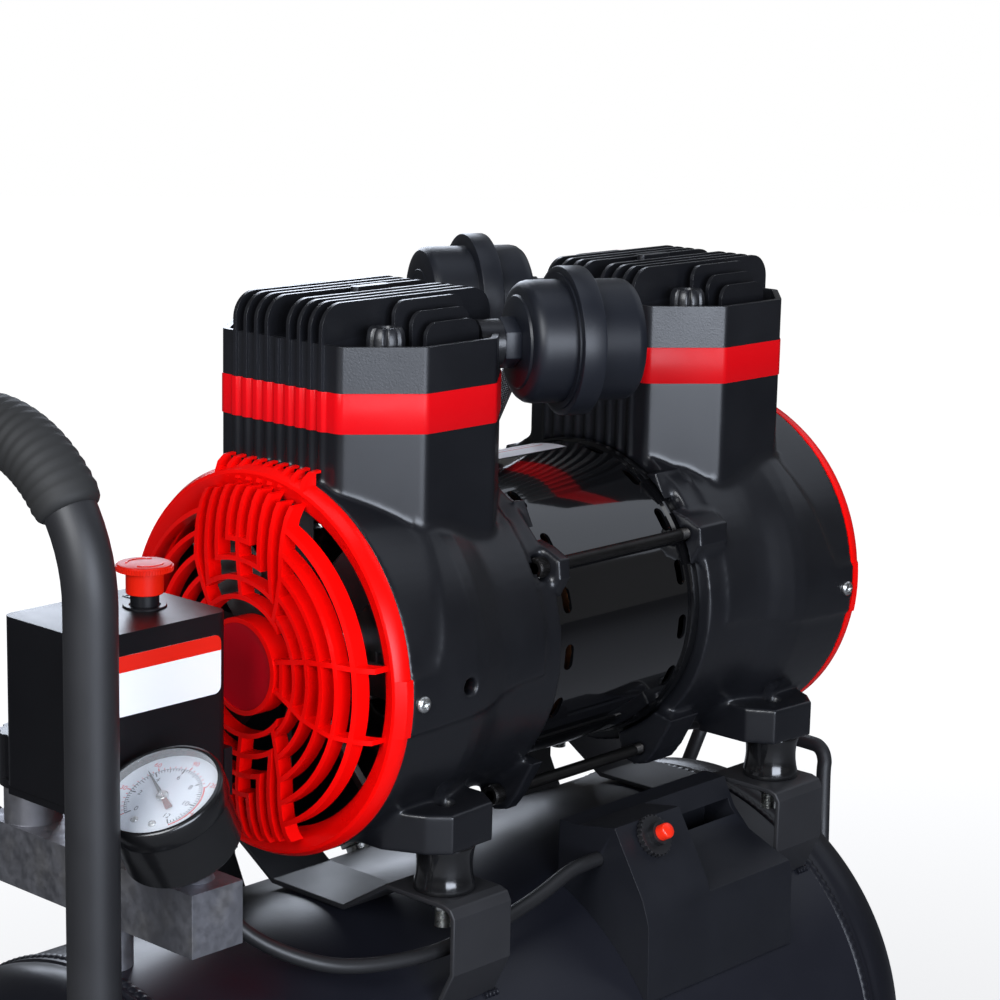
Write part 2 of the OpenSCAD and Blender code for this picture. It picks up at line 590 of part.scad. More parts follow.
// ---- fasteners and silencers ----
module tie_bolts() color([0.08, 0.08, 0.08]) pump() for (s = [1, -1]) for (p = [tie_top, tie_low])
    translate([0, s * p[0], p[1]]) difference() {
        union() {
            rod_x(-57, 66, 3);
            rod_x(-62.5, -56.5, 5);
        }
        translate([-63, 0, 0]) rotate([0, 90, 0]) cylinder(r = 2.9, h = 4, $fn = 6);
    }
module muffler() muffler_frame() {
    difference() {
        rotate([0, 90, 0]) cylinder(r = 12.2, h = 8, center = true, $fn = 6);
        rod_x(-5, -2, 5);
    }
    difference() {
        rod_x(-9, -3.9, 6);
        rod_x(-12, -2, 4);
    }
    spin_x() polygon([[0, 3.9], [21, 3.9], [22, 5], [25, 5.5], [27.5, 7], [28.5, 10], [28.5, 24.5],
        [34, 24.5], [34.6, 25], [34.6, 36], [34, 36.6], [28.3, 36.6], [28.3, 55], [27, 58.5],
        [24, 60], [0, 60]]);
    rotate([0, 90, 0]) translate([0, 0, 59.9]) cylinder(r = 10, h = 0.7, $fn = 6);
}
module mufflers() color([0.09, 0.10, 0.13]) pump() both_units() muffler();

// ---- control box on the front shoulder of the tank ----
box_x0 = -17;
box_x1 = 97;
box_outline = [[-50, -98], [-62, -98], [-85, -94], [-104, -126], [-108, -138], [-109, -176],
    [-104, -184], [-96, -186], [-70, -170], [-50, -140]];
module box_body() along_x(box_x0, box_x1 - box_x0) polygon(box_outline);
// hollow of the right-hand side of the panel
module panel_scoop() along_x(32, 80) polygon([[-58, -90], [-63, -98], [-70, -112],
    [-80, -122], [-97, -129], [-110, -134], [-130, -120], [-120, -80]]);
module control_box() color([0.13, 0.13, 0.15]) difference() {
    pump() difference() {
        box_body();
        translate([3, 0, 0]) along_x(box_x0, box_x1 - box_x0 - 6) polygon([[-53, -101], [-63, -101],
            [-73, -115], [-82, -126], [-98, -134], [-104, -140], [-105, -174], [-96, -183], [-53, -140]]);
        panel_scoop();
        translate(button_at) rotate([90 - box_panel_lean, 0, 0]) cylinder(r = 5.6, h = 40, center = true);
        translate([-20, -75, -112]) rod_x(-10, 10, 3.7);
    }
    tank_solid(0.05);
}
module run_capacitor() color([0.8, 0.8, 0.82]) pump() translate([14, -90, -143]) rod_x(0, 60, 9);
module at_button() pump() translate(button_at) rotate([90 - box_panel_lean, 0, 0]) children();
module reset_breaker() color([0.04, 0.04, 0.04]) at_button() difference() {
    union() {
        translate([0, 0, -10]) cylinder(r = 5.5, h = 17);
        translate([0, 0, 0.4]) cylinder(r = 9.7, h = 3);
        for (k = [0 : 23]) rotate(15 * k) translate([9.3, -0.6, 0.6]) cube([1.1, 1.2, 2.6]);
    }
    translate([0, 0, -4]) cylinder(r = 4, h = 20);
}
module reset_button() color([0.95, 0.08, 0.03]) at_button() cylinder(r = 3.9, h = 12.5);

// ---- outlet manifold, switch and gauge ----
module gauge_frame() pump() translate(gauge_at) rotate([0, 0, gauge_swing]) rotate([0, gauge_lift - 90, 0])
    children();
module manifold() color([0.32, 0.32, 0.34]) difference() {
    union() {
        pump() {
            translate([bar_x - 14, -72, bar_z - 14]) cube([28, 144, 28]);
            translate([bar_x, 0, -122]) cylinder(r = 11, h = 40);
            translate([bar_x, 0, bar_z + 13]) cylinder(r = 12, h = 25.6);
            translate([bar_x, 52, bar_z + 13]) cylinder(r = 13, h = 18);
        }
        gauge_frame() translate([0, 0, -53]) cylinder(r = 7, h = 53 - gauge_deep);
    }
    tank_solid(0.02);
    pump() translate([bar_x, 0, -140]) cylinder(r = 6, h = 62);
    pump() translate([bar_x, 52, bar_z]) cylinder(r = 4.05, h = 60);
    pump() translate([bar_x, 0, bar_z]) rod_y(60, 80, 6.1);
}
module brass_fittings() color([0.72, 0.56, 0.22]) {
    pump() {
        // outlet coupler body
        translate([bar_x, 0, bar_z]) difference() {
            union() {
                rod_y(64, 104, 6);
                rod_y(72.1, 82, 10);
            }
            rod_y(63, 105, 3.6);
        }
        // safety valve body
        translate([0, 18, bar_z]) difference() {
            union() {
                rod_x(bar_x + 14.1, bar_x + 36, 7);
                rod_x(bar_x + 14.1, bar_x + 20, 9.5);
            }
            rod_x(bar_x + 22, bar_x + 40, 2.6);
        }
    }
    // drain cock body
    translate([drain_x, 0, 62]) difference() {
        cylinder(r = 5.4, h = 15);
        translate([0, 0, -1]) cylinder(r = 2.5, h = 20);
    }
}
module safety_ring() color([0.7, 0.7, 0.7]) pump() translate([bar_x, 18, bar_z]) {
    rod_x(24, 42, 2.5);
    translate([49, 0, 0]) rotate([90, 0, 0]) rotate_extrude() translate([8, 0])
        circle(r = 1.2, $fn = 24);
}
module coupler_sleeve() color([0.6, 0.6, 0.62]) pump() translate([bar_x, 0, bar_z]) difference() {
    union() {
        rod_y(87, 100, 12);
        rod_y(90, 93, 12.8);
    }
    rod_y(86, 101, 6.05);
}
module regulator_knob() color([0.04, 0.04, 0.04]) pump() translate([bar_x, 52, bar_z + 31.3]) {
    difference() {
        cylinder(r = 15, h = 24);
        for (k = [0 : 11]) rotate(30 * k) translate([16.4, 0, 4]) cylinder(r = 2.6, h = 30, $fn = 24);
    }
    translate([0, 0, -26]) cylinder(r = 4, h = 26.5);
}
module drain_knob() color([0.7, 0.7, 0.7]) translate([drain_x, 0, 0]) {
    translate([0, 0, 50]) cylinder(r = 6, h = 11.7);
    translate([-11, -1.5, 50]) cube([22, 3, 9]);
    translate([0, 0, 61]) cylinder(r = 2.45, h = 8);
}
function round_box(w, d, r) = concat([for (a = [0 : 15 : 90]) [w - r + r * cos(a), d - r + r * sin(a)]],
    [for (a = [90 : 15 : 180]) [r + r * cos(a), d - r + r * sin(a)]],
    [for (a = [180 : 15 : 270]) [r + r * cos(a), r + r * sin(a)]],
    [for (a = [270 : 15 : 360]) [w - r + r * cos(a), r + r * sin(a)]]);
module switch_body() color([0.04, 0.04, 0.045]) pump() {
    size = switch_hi - switch_lo;
    difference() {
        union() {
            translate(switch_lo + [0, 0, 5]) linear_extrude(size[2] - 5)
                polygon(round_box(size[0], size[1], 6));
            translate(switch_lo + [1.5, 1.5, 0.6]) cube([size[0] - 3, size[1] - 3, 5]);
            // cable tab at the foot of the right side
            translate([switch_hi[0] - 1, switch_lo[1] + 2, switch_lo[2] - 4]) cube([4.5, 14, 22]);
        }
        translate(switch_lo + [3, 3, 3]) cube([size[0] - 6, size[1] - 6, size[2] - 6]);
        translate([knob_at[0], knob_at[1], 0]) cylinder(r = 6.4, h = 50);
        translate([-231, -20, -50]) cylinder(r = 3.7, h = 20);
    }
}
module switch_knob() color([0.85, 0.06, 0.04]) pump() translate(knob_at) {
    translate([0, 0, -12]) cylinder(r = 6.3, h = 20);
    translate([0, 0, 6]) cylinder(r = 8.2, h = 10.5);
    translate([0, 0, 16]) cylinder(r = 12.5, h = 3.4);
}
module gauge_case() color([0.04, 0.04, 0.04]) gauge_frame() difference() {
    rotate_extrude($fn = 96) polygon([[0, -gauge_deep], [24, -gauge_deep], [25.5, -gauge_deep + 2],
        [25.5, -6], [27, -5], [27, 3.2], [26, 4.4], [24.6, 4.4], [24.6, -1], [0, -1]]);
    translate([0, 0, -1.2]) cylinder(r = 2, h = 5);
}
module gauge_dial() color([0.95, 0.95, 0.95]) gauge_frame() translate([0, 0, -1]) tube_z(24.5, 1, 0.6);
module gauge_glass() color([0.9, 0.95, 1, 0.3]) gauge_frame() translate([0, 0, 3])
    cylinder(r = 24.5, h = 1);
needle_turn = 54;
module gauge_needle() color([0.05, 0.05, 0.05]) gauge_frame() rotate(needle_turn) {
    cylinder(r = 2.6, h = 1.6);
    translate([0, 0, -0.9]) cylinder(r = 0.9, h = 2);
    translate([0, 0, 0.5]) linear_extrude(0.6) polygon([[-9, -1.4], [0, -0.9], [18, -0.25], [18, 0.25],
        [0, 0.9], [-9, 1.4]]);
}

// ---- lead and hoses ----
lead_route = [[-231, -20, -36], [-231, -21, -52], [-230, -28, -78], [-218, -46, -104], [-190, -68, -120],
    [-150, -79, -125], [-110, -81, -124], [-70, -79, -119], [-40, -76, -113], [-24, -75, -112],
    [-13, -75, -112]];
module control_lead() color([0.05, 0.05, 0.06]) pump()
    sweep(smooth_path(lead_route, 6), 3.5, [0.1, 1, 0.4], 10);
module delivery_hoses() color([0.62, 0.62, 0.64]) pump() {
    sweep(smooth_path(cross_hose, 6), 5, [0, 0.2, 1], 12);
    sweep(smooth_path(down_hose, 6), 5, [1, 0.3, 0], 12);
}
cross_hose = [[-108, 77, 116], [-108, 79, 116], [-108, 84, 116], [-96, 92, 113], [-60, 96, 108],
    [0, 97, 106], [52, 96, 108], [88, 92, 113], [100, 84, 116], [100, 79, 116], [100, 77, 116]];
down_hose = [[116, 77, 116], [116, 79, 116], [116, 86, 116], [110, 98, 101], [92, 106, 60],
    [56, 110, 0], [8, 112, -56], [-24, 106, -88], [-38, 90, -98], [-40, 79.5, -112.3], [-40, 73.5, -122.7]];
module hose_ends() color([0.6, 0.6, 0.6]) pump() {
    for (x = [-108, 100, 116]) translate([x, 0, 116]) {
        rod_y(63.45, 77, 5.5);
        rod_y(64.5, 71, 7);
    }
    translate([inlet_x, 0, -pump_rise]) rotate([-30, 0, 0]) translate([0, 0, tank_r - 3]) {
        cylinder(r = 6.9, h = 20);
        translate([0, 0, 6]) cylinder(r = 9, h = 8);
    }
}

tank_shell();
tank_ends();
foot_bracket();
rubber_feet();
axle_bracket();
axle();
wheel_front();
wheel_rear();
tyre_front();
tyre_rear();
pull_handle();
handle_grip();
lift_handle();
pump_brackets();
rubber_mounts();
mount_studs();
motor_barrel();
stator_core();
stator_windings();
crankcase_left();
crankcase_right();
cylinder_liners();
valve_plates();
head_left();
head_right();
red_bands();
cover_screws();
grille_left();
grille_right();
hub_discs();
tie_bolts();
mufflers();
bearings();
motor_shaft();
rotor_core();
fans();
cranks();
conrod_left();
conrod_right();
piston_left();
piston_right();
control_box();
run_capacitor();
reset_breaker();
reset_button();
manifold();
brass_fittings();
switch_body();
switch_knob();
gauge_case();
gauge_dial();
gauge_glass();
gauge_needle();
regulator_knob();
coupler_sleeve();
safety_ring();
drain_knob();
control_lead();
delivery_hoses();
hose_ends();
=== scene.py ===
import json
import math

import bmesh
import bpy
import numpy as np
from mathutils import Matrix, Vector


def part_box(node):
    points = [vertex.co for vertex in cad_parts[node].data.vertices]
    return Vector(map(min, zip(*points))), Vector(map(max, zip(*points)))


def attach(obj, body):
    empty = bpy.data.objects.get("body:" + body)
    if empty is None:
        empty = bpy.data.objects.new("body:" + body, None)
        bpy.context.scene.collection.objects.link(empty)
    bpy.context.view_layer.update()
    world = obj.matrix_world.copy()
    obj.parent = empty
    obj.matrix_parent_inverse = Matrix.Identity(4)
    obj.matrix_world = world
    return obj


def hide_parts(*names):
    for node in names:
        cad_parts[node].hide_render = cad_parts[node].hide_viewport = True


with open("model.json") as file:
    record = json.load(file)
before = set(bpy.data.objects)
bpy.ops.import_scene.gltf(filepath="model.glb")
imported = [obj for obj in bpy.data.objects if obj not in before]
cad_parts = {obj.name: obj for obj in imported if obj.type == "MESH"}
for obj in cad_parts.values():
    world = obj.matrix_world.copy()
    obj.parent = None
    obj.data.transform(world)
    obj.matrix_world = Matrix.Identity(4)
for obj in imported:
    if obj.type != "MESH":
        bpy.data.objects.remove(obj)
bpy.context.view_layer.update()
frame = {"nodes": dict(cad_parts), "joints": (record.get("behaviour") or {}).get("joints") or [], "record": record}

MM = 0.001
NODES = frame["nodes"]
BODY_OF = {node: body for body, members in frame["record"]["behaviour"]["bodies"].items()
           for node in members}
SLOT_OF = {row["node"]: row["material_slot"] for row in frame["record"]["subparts"]}


def middle(node):
    low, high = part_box(node)
    return (low + high) / 2


# The motor centre, from which the places below are measured in millimetres, and the tank axis.
PUMP = middle("motor_shaft")
TANK = middle("tank_shell")
JOINTS = {joint["name"]: joint for joint in frame["joints"]}


def at(x, y, z):
    return PUMP + Vector((x, y, z)) * MM


# ---------------------------------------------------------------- materials

class Shader:
    """A material's node tree, with short calls for the nodes that the finishes share."""

    def __init__(self, name, colour, rough, metallic=0.0, **sockets):
        self.material = bpy.data.materials.new(name)
        self.material.use_nodes = True
        self.nodes = self.material.node_tree.nodes
        self.links = self.material.node_tree.links
        self.bsdf = self.nodes["Principled BSDF"]
        self.colour = (*colour, 1.0)
        self.set(self.bsdf, "Base Color", self.colour)
        self.set(self.bsdf, "Roughness", rough)
        self.set(self.bsdf, "Metallic", metallic)
        for socket, value in sockets.items():
            self.set(self.bsdf, socket.replace("_", " "), value)
        self.place = self.nodes.new("ShaderNodeTexCoord").outputs["Object"]
        self.normal = None

    @staticmethod
    def set(node, socket, value):
        node.inputs[socket].default_value = value

    def noise(self, scale, detail=3.0, stretch=(1, 1, 1), source=None):
        spread = self.nodes.new("ShaderNodeMapping")
        self.set(spread, "Scale", stretch)
        self.links.new(source or self.place, spread.inputs["Vector"])
        noise = self.nodes.new("ShaderNodeTexNoise")
        self.set(noise, "Scale", scale)
        self.set(noise, "Detail", detail)
        self.links.new(spread.outputs["Vector"], noise.inputs["Vector"])
        return noise.outputs["Fac"]

    def span(self, value, low, high, start=0.3, stop=0.7):
        ranged = self.nodes.new("ShaderNodeMapRange")
        for socket, number in (("From Min", start), ("From Max", stop),
                               ("To Min", low), ("To Max", high)):
            self.set(ranged, socket, number)
        self.links.new(value, ranged.inputs["Value"])
        return ranged.outputs["Result"]

    def bump(self, height, depth_mm, strength=1.0):
        bump = self.nodes.new("ShaderNodeBump")
        self.set(bump, "Distance", depth_mm * MM)
        self.set(bump, "Strength", strength)
        self.links.new(height, bump.inputs["Height"])
        if self.normal:
            self.links.new(self.normal, bump.inputs["Normal"])
        self.normal = bump.outputs["Normal"]
        self.links.new(self.normal, self.bsdf.inputs["Normal"])

    def roughness(self, value, low, high):
        self.links.new(self.span(value, low, high), self.bsdf.inputs["Roughness"])

    def tint(self, factor, other):
        """Blends the colour so far with another one, by factor."""
        blend = self.nodes.new("ShaderNodeMix")
        blend.data_type = "RGBA"
        blend.inputs[6].default_value = self.colour
        blend.inputs[7].default_value = (*other, 1.0)
        linked = self.bsdf.inputs["Base Color"].links
        if linked:
            self.links.new(linked[0].from_socket, blend.inputs[6])
        self.links.new(factor, blend.inputs[0])
        self.links.new(blend.outputs[2], self.bsdf.inputs["Base Color"])

    def edge_wear(self, other, amount):
        """Lightens convex edges, where paint thins and dust settles, and paints a highlight along them."""
        point = self.nodes.new("ShaderNodeNewGeometry").outputs["Pointiness"]
        self.tint(self.span(point, 0.0, amount, 0.52, 0.62), other)


def scaled(colour, factor):
    return tuple(min(1.0, c * factor) for c in colour)


def moulded(name, colour, rough, grain_mm=0.5, depth_mm=0.02, edge_lighten=0.25, shift=0.16, **sockets):
    """Grained plastic or powder coat: fine bump, cloudy roughness, edges a little lighter from wear and a painted
    highlight.
    """
    shader = Shader(name, colour, rough, **sockets)
    grain = shader.noise(1 / (grain_mm * MM), 2.0)
    cloud = shader.noise(28.0, 4.0)
    shader.roughness(cloud, rough - 0.05, rough + 0.05)
    shader.tint(shader.span(cloud, 0.0, 1.0), scaled(colour, 1 + shift))
    # convex edges lightened: worn paint together with a painted highlight
    shader.edge_wear(scaled(colour, 3.0), edge_lighten)
    shader.bump(grain, depth_mm)
    return shader.material


def glossy(name, colour, rough, peel_mm=3.0, depth_mm=0.01, **sockets):
    """Gloss enamel, film or smooth plastic with a faint orange peel and fine dust."""
    shader = Shader(name, colour, rough, **sockets)
    peel = shader.noise(1 / (peel_mm * MM), 1.0)
    dust = shader.noise(900.0, 3.0)
    shader.roughness(shader.noise(35.0, 5.0), rough * 0.8, rough * 1.3)
    shader.tint(shader.span(dust, 0.0, 0.10, 0.62, 0.78), scaled(colour, 1.6))
    shader.bump(peel, depth_mm)
    return shader.material


def plated(name, colour, rough, stretch=(1, 1, 1), depth_mm=0.004, stain=(0.35, 0.33, 0.30)):
    """Bare or plated metal: fine tooling lines, uneven roughness and darker stains."""
    shader = Shader(name, colour, rough, 1.0)
    shader.roughness(shader.noise(220.0, 4.0, stretch), rough - 0.08, rough + 0.12)
    shader.tint(shader.span(shader.noise(60.0, 5.0), 0.0, 0.45, 0.5, 0.75), stain)
    shader.bump(shader.noise(1800.0, 2.0, stretch), depth_mm)
    return shader.material


def braided(name, colour):
    """Braided steel sleeve: two sets of helical strands over and under each other."""
    shader = Shader(name, colour, 0.32, 1.0)
    uv = shader.nodes.new("ShaderNodeTexCoord").outputs["UV"]
    strands = []
    for lean in (1, -1):
        turn = shader.nodes.new("ShaderNodeMapping")
        shader.set(turn, "Rotation", (0, 0, math.radians(45 * lean)))
        shader.links.new(uv, turn.inputs["Vector"])
        wave = shader.nodes.new("ShaderNodeTexWave")
        wave.wave_profile = "SIN"
        shader.set(wave, "Scale", 2.1)
        shader.set(wave, "Distortion", 0.0)
        shader.links.new(turn.outputs["Vector"], wave.inputs["Vector"])
        strands.append(wave.outputs["Fac"])
    weave = shader.nodes.new("ShaderNodeMath")
    weave.operation = "MULTIPLY"
    for k, strand in enumerate(strands):
        shader.links.new(strand, weave.inputs[k])
    height = weave.outputs[0]
    shader.tint(shader.span(height, 1.0, 0.0, 0.0, 0.35), (0.10, 0.10, 0.11))
    shader.roughness(height, 0.45, 0.25)
    shader.bump(height, 0.4)
    return shader.material


def window_glass(name):
    shader = Shader(name, (0.96, 0.98, 1.0), 0.04, Alpha=0.14, IOR=1.5, Specular_IOR_Level=0.6)
    smear = shader.noise(45.0, 4.0)
    shader.roughness(smear, 0.02, 0.08)
    return shader.material


MAT = {
    "head_black": moulded("HeadPaint", (0.0055, 0.0058, 0.0075), 0.36, 0.9, 0.05, 0.4,
                          Specular_IOR_Level=0.6),
    "housing_black": moulded("HousingPaint", (0.0055, 0.0058, 0.0075), 0.33, 0.6, 0.012, 0.3),
    "muffler_black": moulded("SilencerPlastic", (0.0055, 0.0065, 0.0100), 0.42, 0.55, 0.03, 0.3,
                             Specular_IOR_Level=0.4),
    "box_grey": moulded("BoxPlastic", (0.0060, 0.0065, 0.0090), 0.46, 0.45, 0.03, 0.3,
                        Specular_IOR_Level=0.35),
    "switch_black": moulded("SwitchPlastic", (0.0040, 0.0040, 0.0050), 0.38, 0.4, 0.02, 0.3,
                            Specular_IOR_Level=0.25),
    "breaker_black": moulded("BreakerNylon", (0.008, 0.008, 0.009), 0.40, 0.4, 0.01, 0.4),
    "frame_black": moulded("FramePowderCoat", (0.012, 0.012, 0.0135), 0.50, 0.8, 0.02, 0.3),
    "tank_black": moulded("TankPowderCoat", (0.0055, 0.0058, 0.0085), 0.36, 2.2, 0.025, 0.3,
                          Specular_IOR_Level=0.3),
    "fan_black": moulded("FanPlastic", (0.006, 0.006, 0.007), 0.5, 0.5, 0.01, 0.1),
    "wheel_black": moulded("WheelPlastic", (0.02, 0.02, 0.021), 0.5, 0.6, 0.02, 0.3),
    "rubber_black": moulded("FootRubber", (0.012, 0.012, 0.012), 0.72, 0.5, 0.03, 0.2),
    "tyre_black": moulded("TyreRubber", (0.011, 0.011, 0.0115), 0.78, 0.6, 0.04, 0.3),
    "lead_black": moulded("LeadSheath", (0.010, 0.010, 0.011), 0.45, 0.7, 0.02, 0.1),
    "grille_red": moulded("GrillePlastic", (0.80, 0.0015, 0.001), 0.30, 0.8, 0.012, 0.10, 0.05,
                          Specular_IOR_Level=0.22),
    "hub_burgundy": moulded("HubPlastic", (0.46, 0.001, 0.008), 0.34, 0.8, 0.015, 0.10, 0.10,
                            Specular_IOR_Level=0.15),
    "band_red": glossy("BandFilm", (0.60, 0.002, 0.005), 0.34, 5.0, 0.03,
                       Specular_IOR_Level=0.15),
    "motor_gloss": glossy("BarrelEnamel", (0.0035, 0.0035, 0.0040), 0.09, 4.0, 0.012,
                          Coat_Weight=1.0, Coat_Roughness=0.03),
    "mount_rubber": glossy("BufferRubber", (0.006, 0.006, 0.0065), 0.16, 2.5, 0.03,
                           Coat_Weight=0.6, Coat_Roughness=0.08),
    "button_red": glossy("ButtonPlastic", (0.80, 0.022, 0.005), 0.30, 2.0, 0.01),
    "knob_red": moulded("KnobPlastic", (0.64, 0.010, 0.002), 0.40, 0.8, 0.012, 0.10, 0.05,
                        Specular_IOR_Level=0.15),
    "gauge_black": glossy("GaugeLacquer", (0.006, 0.006, 0.0065), 0.24, 2.0, 0.02,
                          Coat_Weight=0.3, Coat_Roughness=0.12),
    "dial_white": glossy("DialPrint", (0.66, 0.70, 0.76), 0.45, 3.0, 0.002),
    "needle_black": glossy("NeedlePaint", (0.02, 0.02, 0.022), 0.40, 1.0, 0.004),
    "gauge_glass": window_glass("GaugeWindow"),
    "bolt_black": plated("BlackOxide", (0.045, 0.043, 0.042), 0.42, (1, 12, 12), 0.01,
                         (0.02, 0.02, 0.02)),
    "zinc": plated("ZincPlate", (0.66, 0.67, 0.66), 0.26),
    "core_steel": plated("CoreLaminations", (0.20, 0.20, 0.21), 0.45, (40, 1, 1), 0.05),
    "winding_copper": plated("VarnishedCopper", (0.62, 0.24, 0.08), 0.35, (1, 6, 6), 0.05,
                             (0.3, 0.1, 0.03)),
    "bare_aluminium": plated("MachinedAluminium", (0.62, 0.62, 0.64), 0.34, (1, 1, 10)),
    "bearing_steel": plated("BearingSteel", (0.70, 0.70, 0.71), 0.16),
    "shaft_steel": plated("GroundSteel", (0.56, 0.56, 0.58), 0.22, (1, 20, 20)),
    "crank_iron": plated("MachinedIron", (0.30, 0.30, 0.31), 0.42),
    "manifold_grey": plated("BlastedAluminium", (0.24, 0.24, 0.26), 0.55, (1, 1, 1), 0.02),
    "brass": plated("TurnedBrass", (0.72, 0.50, 0.16), 0.24, (1, 16, 1), 0.004, (0.45, 0.27, 0.08)),
    "hose_braid": braided("BraidedSleeve", (0.60, 0.60, 0.62)),
}
PAINT_RED = glossy("LabelRed", (0.72, 0.012, 0.003), 0.34, 4.0, 0.002)
PAINT_WHITE = glossy("LabelWhite", (0.86, 0.86, 0.87), 0.34, 4.0, 0.002)
INK_BLACK = glossy("DialInk", (0.02, 0.02, 0.025), 0.45, 2.0, 0.001)
INK_RED = glossy("DialRedInk", (0.66, 0.03, 0.03), 0.45, 2.0, 0.001)
NEEDLE_TAIL = glossy("NeedleTail", (0.12, 0.012, 0.01), 0.35, 2.0, 0.002)


# ---------------------------------------------------------------- mesh tools

def shade(mesh, angle=32):
    mesh.shade_smooth()
    mesh.set_sharp_from_angle(angle=math.radians(angle))


def add(name, mesh, body, slot, nodes=(), material=None, angle=32):
    """Puts a finished mesh on its CAD body, standing for the given CAD nodes."""
    obj = bpy.data.objects.new(name, mesh)
    bpy.context.scene.collection.objects.link(obj)
    mesh.materials.clear()
    mesh.materials.append(material or MAT[slot])
    shade(mesh, angle)
    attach(obj, body)
    if nodes:
        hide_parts(*nodes)
    return obj


def mesh_from(bm, name):
    mesh = bpy.data.meshes.new(name)
    bm.to_mesh(mesh)
    bm.free()
    return mesh


def baked(obj):
    """Applies the modifiers of an object into its mesh."""
    graph = bpy.context.evaluated_depsgraph_get()
    mesh = bpy.data.meshes.new_from_object(obj.evaluated_get(graph))
    obj.modifiers.clear()
    obj.data = mesh
    return mesh


def cad_copy(node):
    """The CAD node's mesh with its doubled points merged and its flat faces whole again."""
    bm = bmesh.new()
    bm.from_mesh(NODES[node].data)
    bmesh.ops.remove_doubles(bm, verts=bm.verts, dist=2e-6)
    bmesh.ops.dissolve_limit(bm, angle_limit=math.radians(0.6), verts=bm.verts, edges=bm.edges)
    bmesh.ops.dissolve_degenerate(bm, edges=bm.edges, dist=2e-6)
    return bm


def soften(node, width_mm, angle=30, segments=2, name=None, material=None):
    """Shows a CAD node with its sharp edges rounded, as a moulding or casting has them."""
    mesh = mesh_from(cad_copy(node), node + "_fine")
    obj = add(name or node + "_fine", mesh, BODY_OF[node], SLOT_OF[node], [node], material)
    bevel = obj.modifiers.new("edges", "BEVEL")
    bevel.width = width_mm * MM
    bevel.segments = segments
    bevel.limit_method = "ANGLE"
    bevel.angle_limit = math.radians(angle)
    bevel.miter_outer = "MITER_ARC"
    obj.modifiers.new("shading", "WEIGHTED_NORMAL").keep_sharp = True
    return obj


def lathe(profile, origin, axis, steps=96, wobble=None):
    """Closed or open (radius, along) outline in millimetres turned about an axis."""
    axis = Vector(axis).normalized()
    side = axis.orthogonal().normalized()
    other = axis.cross(side)
    bm = bmesh.new()
    rings = []
    for k in range(steps):
        turn = 2 * math.pi * k / steps
        out = side * math.cos(turn) + other * math.sin(turn)
        grow = wobble(turn) if wobble else (lambda radius, along: (radius, along))
        ring = []
        for radius, along in profile:
            radius, along = grow(radius, along)
            ring.append(bm.verts.new(Vector(origin) + (out * radius + axis * along) * MM))
        rings.append(ring)
    for k in range(steps):
        here, there = rings[k], rings[(k + 1) % steps]
        for i in range(len(profile) - 1):
            bm.faces.new((here[i], here[i + 1], there[i + 1], there[i]))
    bmesh.ops.remove_doubles(bm, verts=bm.verts, dist=1e-7)
    bmesh.ops.recalc_face_normals(bm, faces=bm.faces)
    return mesh_from(bm, "turned")


def spline(points, steps):
    """Points of a smooth curve through the given ones."""
    points = [Vector(p) for p in points]
    out = []
    for i in range(len(points) - 1):
        a, b = points[max(i - 1, 0)], points[i]
        c, d = points[i + 1], points[min(i + 2, len(points) - 1)]
        for j in range(steps):
            t = j / steps
            out.append(0.5 * (2 * b + (c - a) * t + (2 * a - 5 * b + 4 * c - d) * t * t
                              + (3 * b - a - 3 * c + d) * t ** 3))
    return out + [points[-1]]


def tube(path, radius_mm, sides=20):
    """Round tube along a path in metres, with a UV that counts strands round and along it."""
    bm = bmesh.new()
    layer = bm.loops.layers.uv.new("UVMap")
    tangents = [(path[min(i + 1, len(path) - 1)] - path[max(i - 1, 0)]).normalized()
                for i in range(len(path))]
    side = tangents[0].orthogonal().normalized()
    rings, along = [], [0.0]
    for i, point in enumerate(path):
        side = (side - tangents[i] * side.dot(tangents[i])).normalized()
        other = tangents[i].cross(side)
        radius = (radius_mm(i / (len(path) - 1)) if callable(radius_mm) else radius_mm) * MM
        rings.append([bm.verts.new(point + radius * (side * math.cos(2 * math.pi * k / sides)
                                                     + other * math.sin(2 * math.pi * k / sides)))
                      for k in range(sides)])
        if i:
            along.append(along[-1] + (point - path[i - 1]).length)
    for i in range(len(path) - 1):
        for k in range(sides):
            n = (k + 1) % sides
            face = bm.faces.new((rings[i][k], rings[i][n], rings[i + 1][n], rings[i + 1][k]))
            for loop, (u, v) in zip(face.loops, ((k, i), (k + 1, i), (k + 1, i + 1), (k, i + 1))):
                loop[layer].uv = (u / sides * 4, along[v] * 130)
    bm.faces.new(list(reversed(rings[0])))
    bm.faces.new(rings[-1])
    bmesh.ops.recalc_face_normals(bm, faces=bm.faces)
    return mesh_from(bm, "tube")


def joined(meshes):
    """One mesh from several."""
    bm = bmesh.new()
    for mesh in meshes:
        bm.from_mesh(mesh)
    return mesh_from(bm, "joined")


def basis(origin, x_axis, z_axis):
    """Frame with the given origin and axes; x_axis is made square to z_axis."""
    z = Vector(z_axis).normalized()
    x = Vector(x_axis)
    x = (x - z * x.dot(z)).normalized()
    y = z.cross(x)
    return Matrix((((x[0], y[0], z[0], origin[0]), (x[1], y[1], z[1], origin[1]),
                    (x[2], y[2], z[2], origin[2]), (0, 0, 0, 1))))


